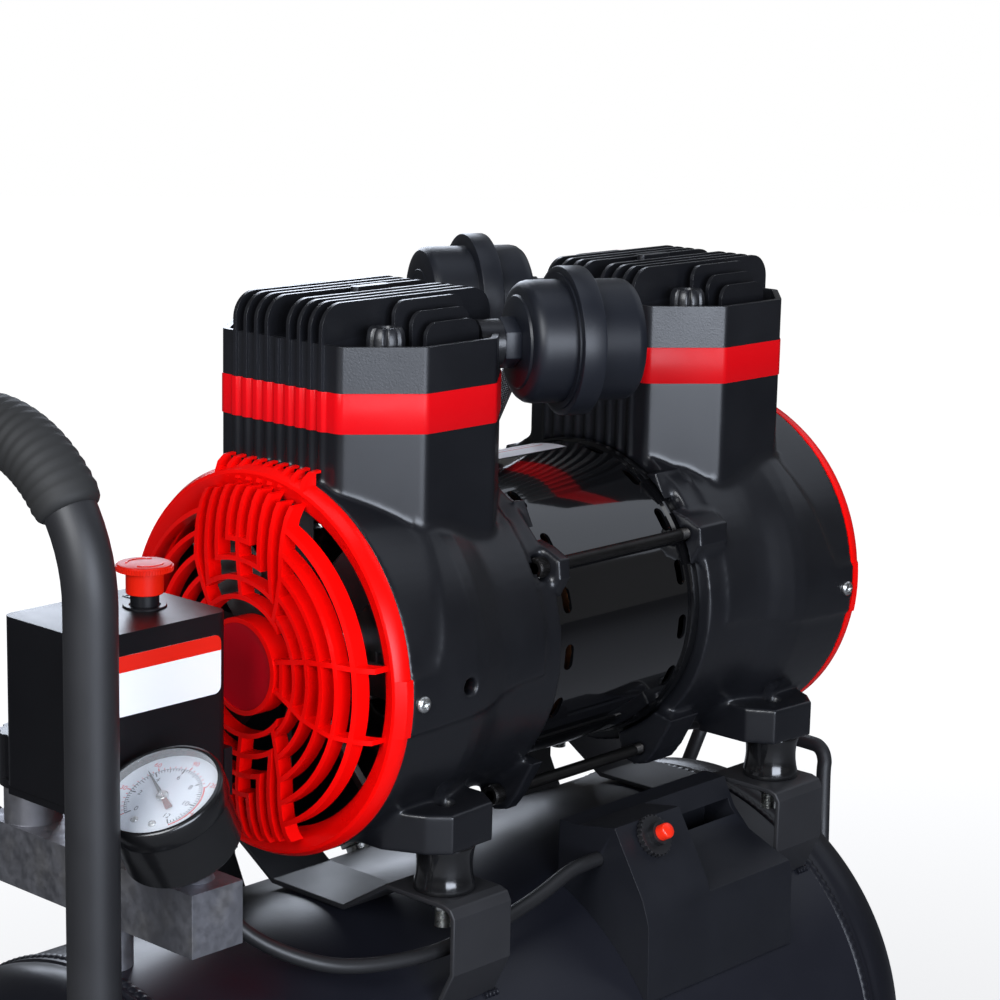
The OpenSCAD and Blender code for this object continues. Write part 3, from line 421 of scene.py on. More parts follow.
def slab(outline, low, high, place, bevel_mm=0.0):
    """Flat outline in millimetres, thickened along the local z of a frame."""
    bm = bmesh.new()
    bottom = [bm.verts.new(place @ (Vector((x, y, low)) * MM)) for x, y in outline]
    top = [bm.verts.new(place @ (Vector((x, y, high)) * MM)) for x, y in outline]
    bm.faces.new(list(reversed(bottom)))
    bm.faces.new(top)
    for i in range(len(outline)):
        j = (i + 1) % len(outline)
        bm.faces.new((bottom[i], bottom[j], top[j], top[i]))
    bmesh.ops.recalc_face_normals(bm, faces=bm.faces)
    if bevel_mm:
        rim = [edge for edge in bm.edges
               if len(edge.link_faces) == 2 and edge.calc_face_angle() > 0.9]
        bmesh.ops.bevel(bm, geom=rim, offset=bevel_mm * MM, segments=2, affect="EDGES",
                        profile=0.5, clamp_overlap=True)
    return mesh_from(bm, "slab")


def arc(cx, cy, radius, start, stop, steps):
    return [(cx + radius * math.cos(math.radians(start + (stop - start) * k / steps)),
             cy + radius * math.sin(math.radians(start + (stop - start) * k / steps)))
            for k in range(steps + 1)]


def rounded_box(width, height, radius, steps=6):
    x, y = width / 2 - radius, height / 2 - radius
    return (arc(x, y, radius, 0, 90, steps) + arc(-x, y, radius, 90, 180, steps)
            + arc(-x, -y, radius, 180, 270, steps) + arc(x, -y, radius, 270, 360, steps))


def toothed(radius, depth, count, share=0.5):
    """Outline of a knurled or fluted round: radius outside, depth to the foot of each groove."""
    points = []
    for k in range(count):
        for at_share, drop in ((0.0, 0), (share, 0), (share + 0.12, depth), (0.88, depth)):
            turn = 2 * math.pi * (k + at_share) / count
            points.append(((radius - drop) * math.cos(turn), (radius - drop) * math.sin(turn)))
    return points


# ---------------------------------------------------------------- receiver and running gear

TANK_R, HALF_BARREL = 130.0, 205.0
COLLAR, DISH = 15.0, 60.0
WALL = 2.5
X_AXIS, Y_AXIS, Z_AXIS = (1, 0, 0), (0, 1, 0), (0, 0, 1)


def dish_profile(shrink, steps=28):
    """Quarter ellipse of a dished end, from its collar to its crown, as (radius, along)."""
    return [((TANK_R - shrink) * math.cos(math.pi / 2 * k / steps),
             COLLAR + (DISH - shrink) * math.sin(math.pi / 2 * k / steps))
            for k in range(steps + 1)]


def receiver():
    outer = [(TANK_R, -HALF_BARREL + 0.4), (TANK_R, HALF_BARREL - 0.4)]
    inner = [(TANK_R - WALL, HALF_BARREL - 0.4), (TANK_R - WALL, -HALF_BARREL + 0.4)]
    barrel = lathe(outer + inner + outer[:1], TANK, X_AXIS, 192)
    add("receiver_barrel", barrel, "chassis", "tank_black", ["tank_shell"])
    ends = []
    for side in (1, -1):
        outside = [(TANK_R - WALL, 0.0), (TANK_R, 0.4), (TANK_R, 5.0), (TANK_R - 1.0, 6.2),
                   (TANK_R - 1.0, 8.0), (TANK_R - 0.2, 9.5)] + dish_profile(0.0)
        inside = list(reversed(dish_profile(WALL))) + [(TANK_R - WALL, 0.0)]
        centre = TANK + Vector((side * HALF_BARREL * MM, 0, 0))
        ends.append(lathe(outside + inside, centre, (side, 0, 0), 192))
    add("receiver_ends", joined(ends), "chassis", "tank_black", ["tank_ends"])
    beads = []
    for side in (1, -1):
        section = [(TANK_R - 1.6 + 2.6 * math.sin(math.radians(a)), 3.4 * math.cos(math.radians(a)))
                   for a in range(0, 181, 30)]
        ripple = lambda turn: (lambda r, z: (r + 0.22 * math.sin(turn * 190),
                                             z + 0.25 * math.sin(turn * 190)))
        centre = TANK + Vector((side * HALF_BARREL * MM, 0, 0))
        beads.append(lathe(section + section[:1], centre, (side, 0, 0), 760, ripple))
    add("weld_beads", joined(beads), "chassis", "tank_black", angle=60)


def bracket_welds():
    """Fillet welds where the pump brackets, the foot strap and the axle bracket meet the tank."""
    low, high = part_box("pump_brackets")
    paths = []
    lean, half_weld = math.radians(48.5), 0.004
    for x in (low.x + 0.003, low.x + 0.035, high.x - 0.035, high.x - 0.003):
        for side in (1, -1):
            start = TANK + Vector((0, side * math.cos(lean), math.sin(lean))) * TANK_R * MM
            paths.append([Vector((x - half_weld, start.y, start.z)),
                          Vector((x + half_weld, start.y, start.z))])
    for node, lean_deg, span in (("foot_bracket", 42, 0.036), ("axle_bracket", 63, 0.040)):
        low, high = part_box(node)
        for side in (1, -1):
            lean = math.radians(lean_deg)
            foot = TANK + Vector((0, side * math.cos(lean), -math.sin(lean))) * (TANK_R + 0.4) * MM
            mid = (low.x + high.x) / 2
            paths.append([Vector((mid - span / 2, foot.y, foot.z)),
                          Vector((mid + span / 2, foot.y, foot.z))])
    beads = []
    for start, stop in paths:
        steps = max(12, int((stop - start).length / MM * 2))
        line = [start.lerp(stop, k / steps) for k in range(steps + 1)]
        beads.append(tube(line, lambda t: 1.7 + 0.25 * math.sin(t * steps * 1.3), 10))
    add("bracket_welds", joined(beads), "chassis", "tank_black", angle=60)


def lifting_bar():
    bar = [at(201, -53, -165), at(211, -45, -128), at(214, -43, -119), at(215, -39, -113.5),
           at(215, -31, -112), at(215, 0, -112), at(215, 31, -112), at(215, 39, -113.5),
           at(214, 43, -119), at(211, 45, -128), at(201, 53, -165)]
    parts = [tube(spline(bar, 10), 4.0, 28)]
    run, rise = polar(1, 50)
    for side in (1, -1):
        place = basis(at(203, side * 53, -167), (run, 0, -rise), (rise, 0, run))
        outline = [(x + 9, y) for x, y in rounded_box(26, 12, 3.0)]
        parts.append(slab(outline, -3, 2, place, 0.8))
    add("lifting_bar", joined(parts), "chassis", "frame_black", ["lift_handle"], angle=50)


def pull_handle():
    low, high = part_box("pull_handle")
    x, radius = (low.x + high.x) / 2, 11.0
    reach = (high.y - low.y) / 2 - radius * MM
    crown = high.z - reach - radius * MM
    path = [Vector((x, -reach, low.z))] + [Vector((x, -reach, low.z + (crown - low.z) * k / 12))
                                            for k in range(1, 12)]
    for k in range(33):
        turn = math.pi - math.pi * k / 32
        path.append(Vector((x, reach * math.cos(turn), crown + reach * math.sin(turn))))
    path += [Vector((x, reach, crown - (crown - low.z) * k / 12)) for k in range(1, 13)]
    add("pull_frame", tube(path, radius, 40), "chassis", "frame_black", ["pull_handle"])
    # foam grip with shallow rings
    grip = [Vector((x, reach * math.cos(t), crown + reach * math.sin(t)))
            for t in (math.radians(35 + 110 * k / 110) for k in range(111))]
    end = lambda t: min(1.0, min(t, 1 - t) * 28) ** 0.5
    ribbed = lambda t: 11.2 + end(t) * (3.0 - 0.55 * (0.5 + 0.5 * math.cos(t * 2 * math.pi * 27)))
    add("grip_sleeve", tube(grip, ribbed, 40), "chassis", "rubber_black", ["handle_grip"], angle=60)


def wheels():
    for side, end in ((-1, "front"), (1, "rear")):
        body = "wheel_" + end
        soften(body, 0.8, 35)
        hub = middle(body)
        centre = Vector((hub.x, middle("tyre_" + end).y, hub.z))
        shoulder = [(46.05, -13), (57, -14), (60.5, -12.0), (62.0, -8.5), (62.4, -4.6),
                    (61.3, -4.0), (61.3, -2.8), (62.5, -2.2), (62.5, 0.0)]
        section = shoulder + [(r, -a) for r, a in reversed(shoulder[:-1])]
        tread = lambda turn: (lambda r, a: (r - (0.9 if r > 59 and abs(a) > 4.7
                                                 and math.sin(turn * 40) > 0.62 else 0.0), a))
        tyre = lathe(section + section[:1], centre, (0, side, 0), 320, tread)
        add("tread_" + end, tyre, body, "tyre_black", ["tyre_" + end], angle=40)


def running_gear():
    soften("foot_bracket", 0.7)
    soften("axle_bracket", 0.7)
    soften("rubber_feet", 0.9)
    soften("axle", 0.5)


# ---------------------------------------------------------------- motor and cylinders

def concave_fill(mesh, rounds, keep):
    """Fills hollow corners into fillets and only takes the harshness off the outward edges."""
    count = len(mesh.vertices)
    edges = np.empty(len(mesh.edges) * 2, np.int32)
    mesh.edges.foreach_get("vertices", edges)
    edges = edges.reshape(-1, 2)
    co = np.empty(count * 3, np.float32)
    mesh.vertices.foreach_get("co", co)
    co = co.reshape(-1, 3).astype(float)
    first = np.concatenate((edges[:, 0], edges[:, 1]))
    second = np.concatenate((edges[:, 1], edges[:, 0]))
    degree = np.maximum(np.bincount(first, minlength=count), 1)[:, None]
    held = keep(co)[:, None]
    for k in range(rounds):
        if k % 10 == 0:
            mesh.vertices.foreach_set("co", co.astype(np.float32).ravel())
            mesh.update()
            normal = np.empty(count * 3, np.float32)
            mesh.vertices.foreach_get("normal", normal)
            normal = normal.reshape(-1, 3)
        near = np.stack([np.bincount(first, co[second, axis], count) for axis in range(3)], 1)
        near /= degree
        pull = near - co
        hollow = np.clip((pull * normal).sum(1)[:, None] / (0.02 * MM), 0, 1)
        co += pull * (0.05 + 0.5 * hollow * held)
    mesh.vertices.foreach_set("co", co.astype(np.float32).ravel())
    mesh.update()


CYLINDER_X, BLOCK_X, BLOCK_Y = 106.0, 52.4, 63.0
BAND_LOW, BAND_HIGH = 108.5, 126.5
RIBS = [7.0 * k for k in range(-4, 5)]


def rounded_corners(points, radius, steps=6):
    """Closed outline with each corner turned into an arc."""
    out = []
    for i, corner in enumerate(points):
        p = Vector(corner)
        a = (Vector(points[i - 1]) - p).normalized()
        b = (Vector(points[(i + 1) % len(points)]) - p).normalized()
        half = a.angle(b) / 2
        centre = p + (a + b).normalized() * radius / math.sin(half)
        va = p + a * radius / math.tan(half) - centre
        vb = p + b * radius / math.tan(half) - centre
        turn = math.pi - 2 * half
        for k in range(steps + 1):
            share_a, share_b = math.sin(turn * (1 - k / steps)), math.sin(turn * k / steps)
            out.append(centre + (share_a * va + share_b * vb) / math.sin(turn))
    return out


def red_bands():
    """Glossy film round each cylinder head joint; it drapes in soft waves over the upright ribs."""
    x, y, cut_x, cut_y = BLOCK_X, BLOCK_Y, 30.0, 25.0
    corners = [(x, y - cut_y), (x - cut_x, y), (cut_x - x, y), (-x, y - cut_y),
               (-x, cut_y - y), (cut_x - x, -y), (x - cut_x, -y), (x, cut_y - y)]
    plan = rounded_corners(corners, 5.0)
    outline = []
    for i, here in enumerate(plan):
        outline.append(here)
        gap = plan[(i + 1) % len(plan)] - here
        if gap.length > 60:
            steps = int(gap.length / 0.35)
            outline += [here + gap * k / steps for k in range(1, steps)]

    def swell(point):
        if abs(abs(point.x) - x) > 0.01:
            return 0.0
        reach = min(abs(point.y - rib) for rib in RIBS)
        share = min(1.0, max(0.0, (reach - 1.1) / 2.2))
        return 1.5 * (1 - share * share * (3 - 2 * share))

    section = ((0.03, BAND_LOW), (0.34, BAND_LOW + 0.03), (0.44, BAND_LOW + 0.25),
               (0.44, BAND_HIGH - 0.25), (0.34, BAND_HIGH - 0.03), (0.03, BAND_HIGH))
    bands = []
    for unit in (1, -1):
        bm = bmesh.new()
        rings = []
        for i, point in enumerate(outline):
            along = (outline[(i + 1) % len(outline)] - outline[i - 1]).normalized()
            out = Vector((-along.y, along.x))
            out = out if out.dot(point) > 0 else -out
            rings.append([bm.verts.new(at(unit * (CYLINDER_X + px), unit * py, z)) for px, py, z in
                          ((*(point + out * (lift + swell(point))), z) for lift, z in section)])
        for i in range(len(rings)):
            here, there = rings[i], rings[(i + 1) % len(rings)]
            for k in range(len(section)):
                n = (k + 1) % len(section)
                bm.faces.new((here[k], here[n], there[n], there[k]))
        bmesh.ops.recalc_face_normals(bm, faces=bm.faces)
        bands.append(mesh_from(bm, "band"))
    add("band_film", joined(bands), "chassis", "band_red", ["red_bands"], angle=40)


def crankcase(side, name):
    """Die-cast housing: the CAD solid with fillets where the cylinder block meets the drum."""
    mesh = mesh_from(cad_copy(name), name + "_cast")
    obj = bpy.data.objects.new("casting", mesh)
    bpy.context.scene.collection.objects.link(obj)
    skin = obj.modifiers.new("skin", "REMESH")
    skin.mode = "VOXEL"
    skin.voxel_size = 1.0 * MM
    mesh = baked(obj)

    def smooth_here(co):
        local = (co - np.array(PUMP)) / MM * np.array([side, side, 1.0])
        from_axis = np.abs(local[:, 0] - CYLINDER_X)
        rib_face = (np.abs(from_axis - BLOCK_X - 0.8) < 3.5) & (local[:, 2] > 62)
        inside_block = (from_axis < BLOCK_X - 2.4) & (np.abs(local[:, 1]) < 60) & (local[:, 2] > 60)
        return np.where(rib_face | inside_block, 0.0, 1.0)

    concave_fill(mesh, 50, smooth_here)
    thin = obj.modifiers.new("thin", "DECIMATE")
    thin.ratio = 0.45
    mesh = baked(obj)
    bpy.data.objects.remove(obj)
    add(name + "_cast", mesh, "chassis", "housing_black", [name], angle=55)


def motor_barrel():
    """Barrel tube with two rolled rings and a row of vent slots at each end."""
    bm = cad_copy("motor_barrel")
    for vert in bm.verts:
        vert.co -= PUMP
    mesh = mesh_from(bm, "barrel")
    obj = add("barrel_tube", mesh, "chassis", "motor_gloss", ["motor_barrel"], angle=25)
    mesh.transform(Matrix.Translation(PUMP))
    # the long faces get the exact normals of a cylinder, so that reflections run true
    normals = []
    for poly in mesh.polygons:
        flat = Vector((0, poly.center.y - PUMP.y, poly.center.z - PUMP.z)).normalized()
        facing = poly.normal.dot(flat)
        for index in poly.vertices:
            place = mesh.vertices[index].co
            out = Vector((0, place.y - PUMP.y, place.z - PUMP.z)).normalized()
            normals.append(out if facing > 0.9 else (-out if facing < -0.9 else poly.normal.copy()))
    mesh.normals_split_custom_set(normals)
    return obj


def barrel_label():
    """Blank white label with two thin red lines, wrapped over the top of the barrel."""
    def patch(x0, x1, first, last, radius):
        bm = bmesh.new()
        rows = []
        for k in range(25):
            turn = math.radians(first + (last - first) * k / 24)
            rim = ((x0, radius - 0.1), (x0, radius), (x1, radius), (x1, radius - 0.1))
            rows.append([bm.verts.new(at(x, -r * math.sin(turn), r * math.cos(turn)))
                         for x, r in rim])
        for here, there in zip(rows, rows[1:]):
            for k in range(3):
                bm.faces.new((here[k], here[k + 1], there[k + 1], there[k]))
        bmesh.ops.recalc_face_normals(bm, faces=bm.faces)
        return mesh_from(bm, "patch")

    add("barrel_label", patch(-34, 32, 4, -48, 75.15), "chassis", "dial_white",
        material=PAINT_WHITE)
    lines = [patch(-28, 26, lean, lean - 0.7, 75.2) for lean in (-4, -8)]
    add("barrel_label_lines", joined(lines), "chassis", "knob_red", material=PAINT_RED)


def polar(radius, degrees):
    return radius * math.cos(math.radians(degrees)), radius * math.sin(math.radians(degrees))


def skinned(bm, rows, name):
    """Mesh over rows of vertices, from a closed foot up to a point."""
    steps = len(rows[0])
    for here, above in zip(rows, rows[1:]):
        for k in range(steps):
            n = (k + 1) % steps
            bm.faces.new((here[k], here[n], above[n], above[k]))
    bm.faces.new(list(reversed(rows[0])))
    bmesh.ops.remove_doubles(bm, verts=bm.verts, dist=1e-7)
    bmesh.ops.recalc_face_normals(bm, faces=bm.faces)
    return mesh_from(bm, name)


def fluted_head(place, radius, height):
    """Round screw head with deep flutes and a domed, dished top."""
    bm = bmesh.new()
    steps, rings = 96, [(0.86, 0.0), (1.0, 0.10), (1.0, 0.80), (0.94, 0.93), (0.80, 1.0),
                        (0.45, 1.0), (0.38, 0.93), (0.0, 0.93)]
    rows = []
    for share, up in rings:
        row = []
        for k in range(steps):
            turn = 2 * math.pi * k / steps
            flute = 0.13 * max(0.0, math.cos(turn * 8)) ** 3 if share > 0.7 else 0.0
            r = radius * (share - flute) * MM
            point = Vector((r * math.cos(turn), r * math.sin(turn), up * height * MM))
            row.append(bm.verts.new(place @ point))
        rows.append(row)
    return skinned(bm, rows, "fluted")


def pan_head(place, radius, height):
    """Domed screw head with a cross recess."""
    steps = 48
    bm = bmesh.new()
    rows = []
    for share, up in ((1.0, 0.0), (1.0, 0.35), (0.93, 0.62), (0.78, 0.84), (0.58, 0.96),
                      (0.40, 1.0), (0.25, 1.0), (0.0, 1.0)):
        row = []
        for k in range(steps):
            turn = 2 * math.pi * k / steps
            cross = min(abs(math.cos(turn)), abs(math.sin(turn)))
            x, y = share * math.cos(turn), share * math.sin(turn)
            in_cross = share < 0.62 and cross * share < 0.13
            sink = 0.7 * (1 - share / 0.62) if in_cross else 0.0
            point = Vector((x * radius, y * radius, (up - sink) * height)) * MM
            row.append(bm.verts.new(place @ point))
        rows.append(row)
    return skinned(bm, rows, "pan")


HEAD_SCREWS = ((-27, -41.5, 8.8, 26), (27, 41.5, 8.8, 26), (34, -37, 4.5, 9))


def cover_screws():
    big, small = [], []
    for unit in (1, -1):
        for x, y, radius, height in HEAD_SCREWS:
            foot = at(unit * (CYLINDER_X + x), unit * y, 0)
            seat = Matrix.Translation(foot + Vector((0, 0, 128 * MM)))
            big.append(fluted_head(seat, radius, height))
            big.append(lathe([(0, 90), (2.5, 90), (2.5, 128.2), (0, 128.2)], foot, Z_AXIS, 24))
        for side in (1, -1):
            seat = at(unit * 157, side * 91.4, -3)
            small.append(pan_head(basis(seat, (1, 0, 0.3), (0, side, 0)), 3.8, 2.0))
            small.append(lathe([(0, -8), (2, -8), (2, 0.2), (0, 0.2)], seat, (0, side, 0), 24))
    add("head_screws", joined(big), "chassis", "bolt_black", ["cover_screws"],
        MAT["head_black"], 40)
    add("grille_screws", joined(small), "chassis", "zinc", angle=40)


def tie_bolts():
    """Long bolts across the barrel: knurled socket heads at the left, threads at the right."""
    parts = []
    for side in (1, -1):
        for y, z in ((69.5, 38.5), (45, -77)):
            origin = at(0, side * y, z)
            thread = []
            for k in range(36):
                thread += [(2.62, 44 + k * 0.6), (3.0, 44.3 + k * 0.6)]
            shank = [(0, -57), (3.0, -57), (3.0, 44)] + thread + [(2.6, 66), (0, 66)]
            parts.append(lathe(shank, origin, X_AXIS, 32))
            place = basis(origin, Z_AXIS, (-1, 0, 0))
            bm = bmesh.new()
            knurl = toothed(5.0, 0.32, 36)
            socket = [polar(2.9, 60 * k + 30) for k in range(6)]
            rim = [polar(4.3, 7.5 * k) for k in range(48)]
            loops = []
            for outline, up in ((knurl, 56.5), (knurl, 61.6), (rim, 62.4), (socket, 62.4),
                                (socket, 59.4)):
                loops.append([bm.verts.new(place @ (Vector((*p, up)) * MM)) for p in outline])
            for lower, upper in zip(loops, loops[1:]):
                edges = []
                for loop in (lower, upper):
                    for pair in zip(loop, loop[1:] + loop[:1]):
                        edges.append(bm.edges.get(pair) or bm.edges.new(pair))
                bmesh.ops.bridge_loops(bm, edges=edges)
            bm.faces.new(list(reversed(loops[0])))
            bm.faces.new(loops[-1])
            bmesh.ops.recalc_face_normals(bm, faces=bm.faces)
            parts.append(mesh_from(bm, "socket_head"))
    add("tie_rods", joined(parts), "chassis", "bolt_black", ["tie_bolts"], angle=30)


def rubber_mounts():
    parts = []
    for unit in (1, -1):
        for side in (1, -1):
            profile = [(4.05, -100), (13.6, -100), (14.2, -99.4), (14.25, -97.6), (13.5, -94.5),
                       (13.0, -91), (12.85, -88), (13.0, -85), (13.5, -81.5), (14.1, -79.4),
                       (14.1, -78.4), (13.7, -78),
                       (4.05, -78), (4.05, -100)]
            parts.append(lathe(profile, at(unit * 122.5, side * 73, 0), Z_AXIS, 96))
    add("buffers", joined(parts), "chassis", "mount_rubber", ["rubber_mounts"], angle=50)


def mount_studs():
    parts = []
    for unit in (1, -1):
        for side in (1, -1):
            origin = at(unit * 122.5, side * 73, 0)
            thread = []
            for k in range(18):
                thread += [(4.0, -118 + k * 0.55), (3.6, -117.72 + k * 0.55)]
            shank = [(4.0, -108), (4.0, -66.4), (3.6, -66), (0, -66)]
            parts.append(lathe([(0, -118.2)] + thread + shank, origin, Z_AXIS, 32))
            nut = [polar(6.6, 60 * k + 12) for k in range(6)]
            parts.append(slab(nut, -109.3, -102.6, Matrix.Translation(origin), 0.5))
    add("buffer_studs", joined(parts), "chassis", "zinc", ["mount_studs"], angle=40)


def hub_discs():
    parts = []
    for unit in (1, -1):
        dish = [(0, 180.4), (14, 180.4), (18.2, 180.6), (19.6, 181.0), (20.0, 181.0),
                (20.05, 180.05), (0, 180.05)]
        parts.append(lathe(dish, PUMP, (unit, 0, 0), 96))
    add("hub_dishes", joined(parts), "chassis", "hub_burgundy", ["hub_discs"], angle=40)


def silencers():
    """Intake filters: hexagon neck, stepped end, ribbed collar and a ringed free end."""
    parts = []
    lean = math.radians(28)
    for unit in (1, -1):
        origin = at(unit * -60, unit * -47, 141)
        along = Vector((unit * math.cos(lean), unit * -math.sin(lean), 0))
        can = [(0, 3.9), (20.4, 3.9), (21.2, 4.2), (21.8, 5.2), (24.6, 5.6), (26.6, 6.6),
               (28.0, 8.6), (28.5, 11), (28.5, 24.3), (31.5, 24.3), (31.5, 25.2), (33.6, 25.2),
               (34.4, 25.6), (34.6, 26.2), (34.6, 35.4), (34.3, 36.2), (33.6, 36.5), (28.4, 36.5),
               (28.3, 37), (28.3, 54.5), (27.8, 57), (26.4, 58.8), (24, 59.6), (17, 59.7),
               (16.6, 60.1), (15.6, 60.1), (15.2, 59.7), (0, 59.7)]
        parts.append(lathe(can, origin, along, 128))
        place = basis(origin, Z_AXIS, along)
        hexagon = lambda r, turn: [polar(r, 60 * k + turn) for k in range(6)]
        parts.append(slab(hexagon(12.2, 0), -4, 4, place, 0.7))
        parts.append(slab(hexagon(10, 30), 59.5, 60.6, place, 0.35))
        spigot = [(0, -9), (5.4, -9), (6, -8.4), (6, -3.9), (0, -3.9)]
        parts.append(lathe(spigot, origin, along, 48))
    add("silencer_cans", joined(parts), "chassis", "muffler_black", ["mufflers"], angle=30)


def motor_and_cylinders():
    motor_barrel()
    barrel_label()
    crankcase(-1, "crankcase_left")
    crankcase(1, "crankcase_right")
    for node in ("head_left", "head_right"):
        soften(node, 0.7, 35, 3)
    for node in ("grille_left", "grille_right"):
        soften(node, 0.55, 35)
    red_bands()
    cover_screws()
    tie_bolts()
    rubber_mounts()
    mount_studs()
    hub_discs()
    silencers()
    soften("pump_brackets", 0.6)


def inner_works():
    """Pieces that are closed in, or seen only through the grilles and slots."""
    for node in ("stator_core", "stator_windings", "cylinder_liners", "valve_plates", "bearings",
                 "motor_shaft", "rotor_core", "cranks", "conrod_left", "conrod_right",
                 "piston_left", "piston_right", "run_capacitor"):
        soften(node, 0.3, 40, 1)
    soften("fans", 0.6, 35)


# ---------------------------------------------------------------- control box

def control_box():
    soften("control_box", 0.9, 28, 3)
    soften("reset_breaker", 0.15, 40, 1)


def reset_button():
    """Red cap of the overload switch, slightly crowned, on its own slide."""
    axis = -Vector(JOINTS["reset_press"]["axis"])
    base = at(5.3, -90, -102.3)
    cap = [(0, 0), (3.6, 0), (3.9, 0.4), (3.9, 11.2), (3.6, 12.0), (2.8, 12.35), (0, 12.5)]
    add("reset_cap", lathe(cap, base, axis, 48), "reset_button", "button_red",
        ["reset_button"], angle=50)


# ---------------------------------------------------------------- switch, gauge and outlet

def switch_top():
    """Pull knob with a finely knurled rim and two plain raised arrows."""
    centre = at(-238, -2, 38)
    place = Matrix.Translation(centre)
    stem = [(0, -12), (6.3, -12), (6.3, 6), (0, 6)]
    neck = [(0, 6), (7.9, 6), (8.2, 6.3), (8.2, 16.2), (0, 16.2)]
    parts = [lathe(neck, centre, Z_AXIS, 64), slab(toothed(12.5, 0.35, 60), 16.2, 18.4, place)]
    crown = [(0, 18.3), (12.1, 18.3), (11.8, 19.0), (11.2, 19.25), (0, 19.4)]
    parts.append(lathe(crown, centre, Z_AXIS, 96))
    for turn in (0, 180):
        mark = place @ Matrix.Rotation(math.radians(turn + 25), 4, "Z")
        ring = arc(0, 0, 8.4, 20, 120, 14) + arc(0, 0, 7.4, 120, 20, 14)
        parts.append(slab(ring, 19.2, 19.65, mark))
        tip = [polar(8.9, 18), polar(6.9, 18), polar(7.9, 2)]
        parts.append(slab(tip, 19.2, 19.65, mark))
    add("pull_knob", joined(parts), "switch_knob", "knob_red", ["switch_knob"], angle=35)
    add("pull_stem", lathe(stem, centre, Z_AXIS, 64), "switch_knob", "switch_black")


def switch_case():
    soften("switch_body", 1.6, 35, 4)
    # raised plain marks and a sunk screw on the lid
    lid = at(0, 0, 38)
    marks = []
    for x, y, w, h in ((-229, 12, 9, 0.8), (-229, 18, 9, 0.8),
                       (-233.5, 15, 0.8, 6.8), (-224.5, 15, 0.8, 6.8)):
        place = Matrix.Translation(Vector((PUMP.x + x * MM, PUMP.y + y * MM, lid.z)))
        marks.append(slab(rounded_box(w, h, 0.3, 2), -0.2, 0.35, place))
    collar = lathe([(6.6, -0.2), (9.6, -0.2), (9.6, 0.5), (9.2, 0.9), (7.0, 0.9), (6.6, 0.5),
                    (6.6, -0.2)], at(-238, -2, 38), Z_AXIS, 64)
    marks.append(collar)
    add("switch_marks", joined(marks), "chassis", "switch_black", angle=40)
    sink = pan_head(Matrix.Translation(at(-258, 14, 38.0)), 3.4, 1.2)
    add("switch_screw", sink, "chassis", "bolt_black", angle=40)


def plain_label():
    """Blank white label with a red header; it carries no words."""
    place = basis(at(-254, -32, 15.5), X_AXIS, (0, -1, 0))
    width, height, header = 66.0, 26.0, 7.0
    corner = 3.5
    white = rounded_box(width, height, corner)
    add("label_field", slab(white, 0.0, 0.12, place), "chassis", "dial_white", material=PAINT_WHITE)
    right, top = width / 2, height / 2
    red = (arc(right - corner, top - corner, corner, 0, 90, 6)
           + arc(corner - right, top - corner, corner, 90, 180, 6)
           + [(-right, top - header), (right, top - header)])
    add("label_header", slab(red, 0.1, 0.2, place), "chassis", "knob_red", material=PAINT_RED)


GAUGE_ZERO, GAUGE_FULL = 138.0, -138.0


def gauge_frame():
    """Frame of the dial: z out of its face, x towards the top of the scale."""
    out = -Vector(JOINTS["needle_turn"]["axis"])
    swing = math.radians(11)
    side = Vector((-math.sin(swing), math.cos(swing), 0))
    return basis(Vector(JOINTS["needle_turn"]["pos_m"]), side.cross(out), out)


def tick(place, inner, outer, degrees, width, low=0.0, high=0.05):
    turned = place @ Matrix.Rotation(math.radians(degrees), 4, "Z")
    return slab([(inner, -width / 2), (outer, -width / 2), (outer, width / 2), (inner, width / 2)],
                low, high, turned)


def numeral(text, place, radius, degrees, size):
    """A printed number on the dial, as a thin mesh, upright to the reader."""
    curve = bpy.data.curves.new("numeral", "FONT")
    curve.body = text
    curve.size = size * MM
    curve.align_x = "CENTER"
    curve.align_y = "CENTER"
    curve.extrude = 0.02 * MM
    obj = bpy.data.objects.new("numeral", curve)
    bpy.context.scene.collection.objects.link(obj)
    graph = bpy.context.evaluated_depsgraph_get()
    mesh = bpy.data.meshes.new_from_object(obj.evaluated_get(graph))
    bpy.data.objects.remove(obj)
    x, y = polar(radius, degrees)
    # text runs along -y of the dial frame, whose x points up
    spot = Matrix.Translation(Vector((x, y, 0.03)) * MM)
    mesh.transform(place @ spot @ Matrix.Rotation(-math.pi / 2, 4, "Z"))
    return mesh


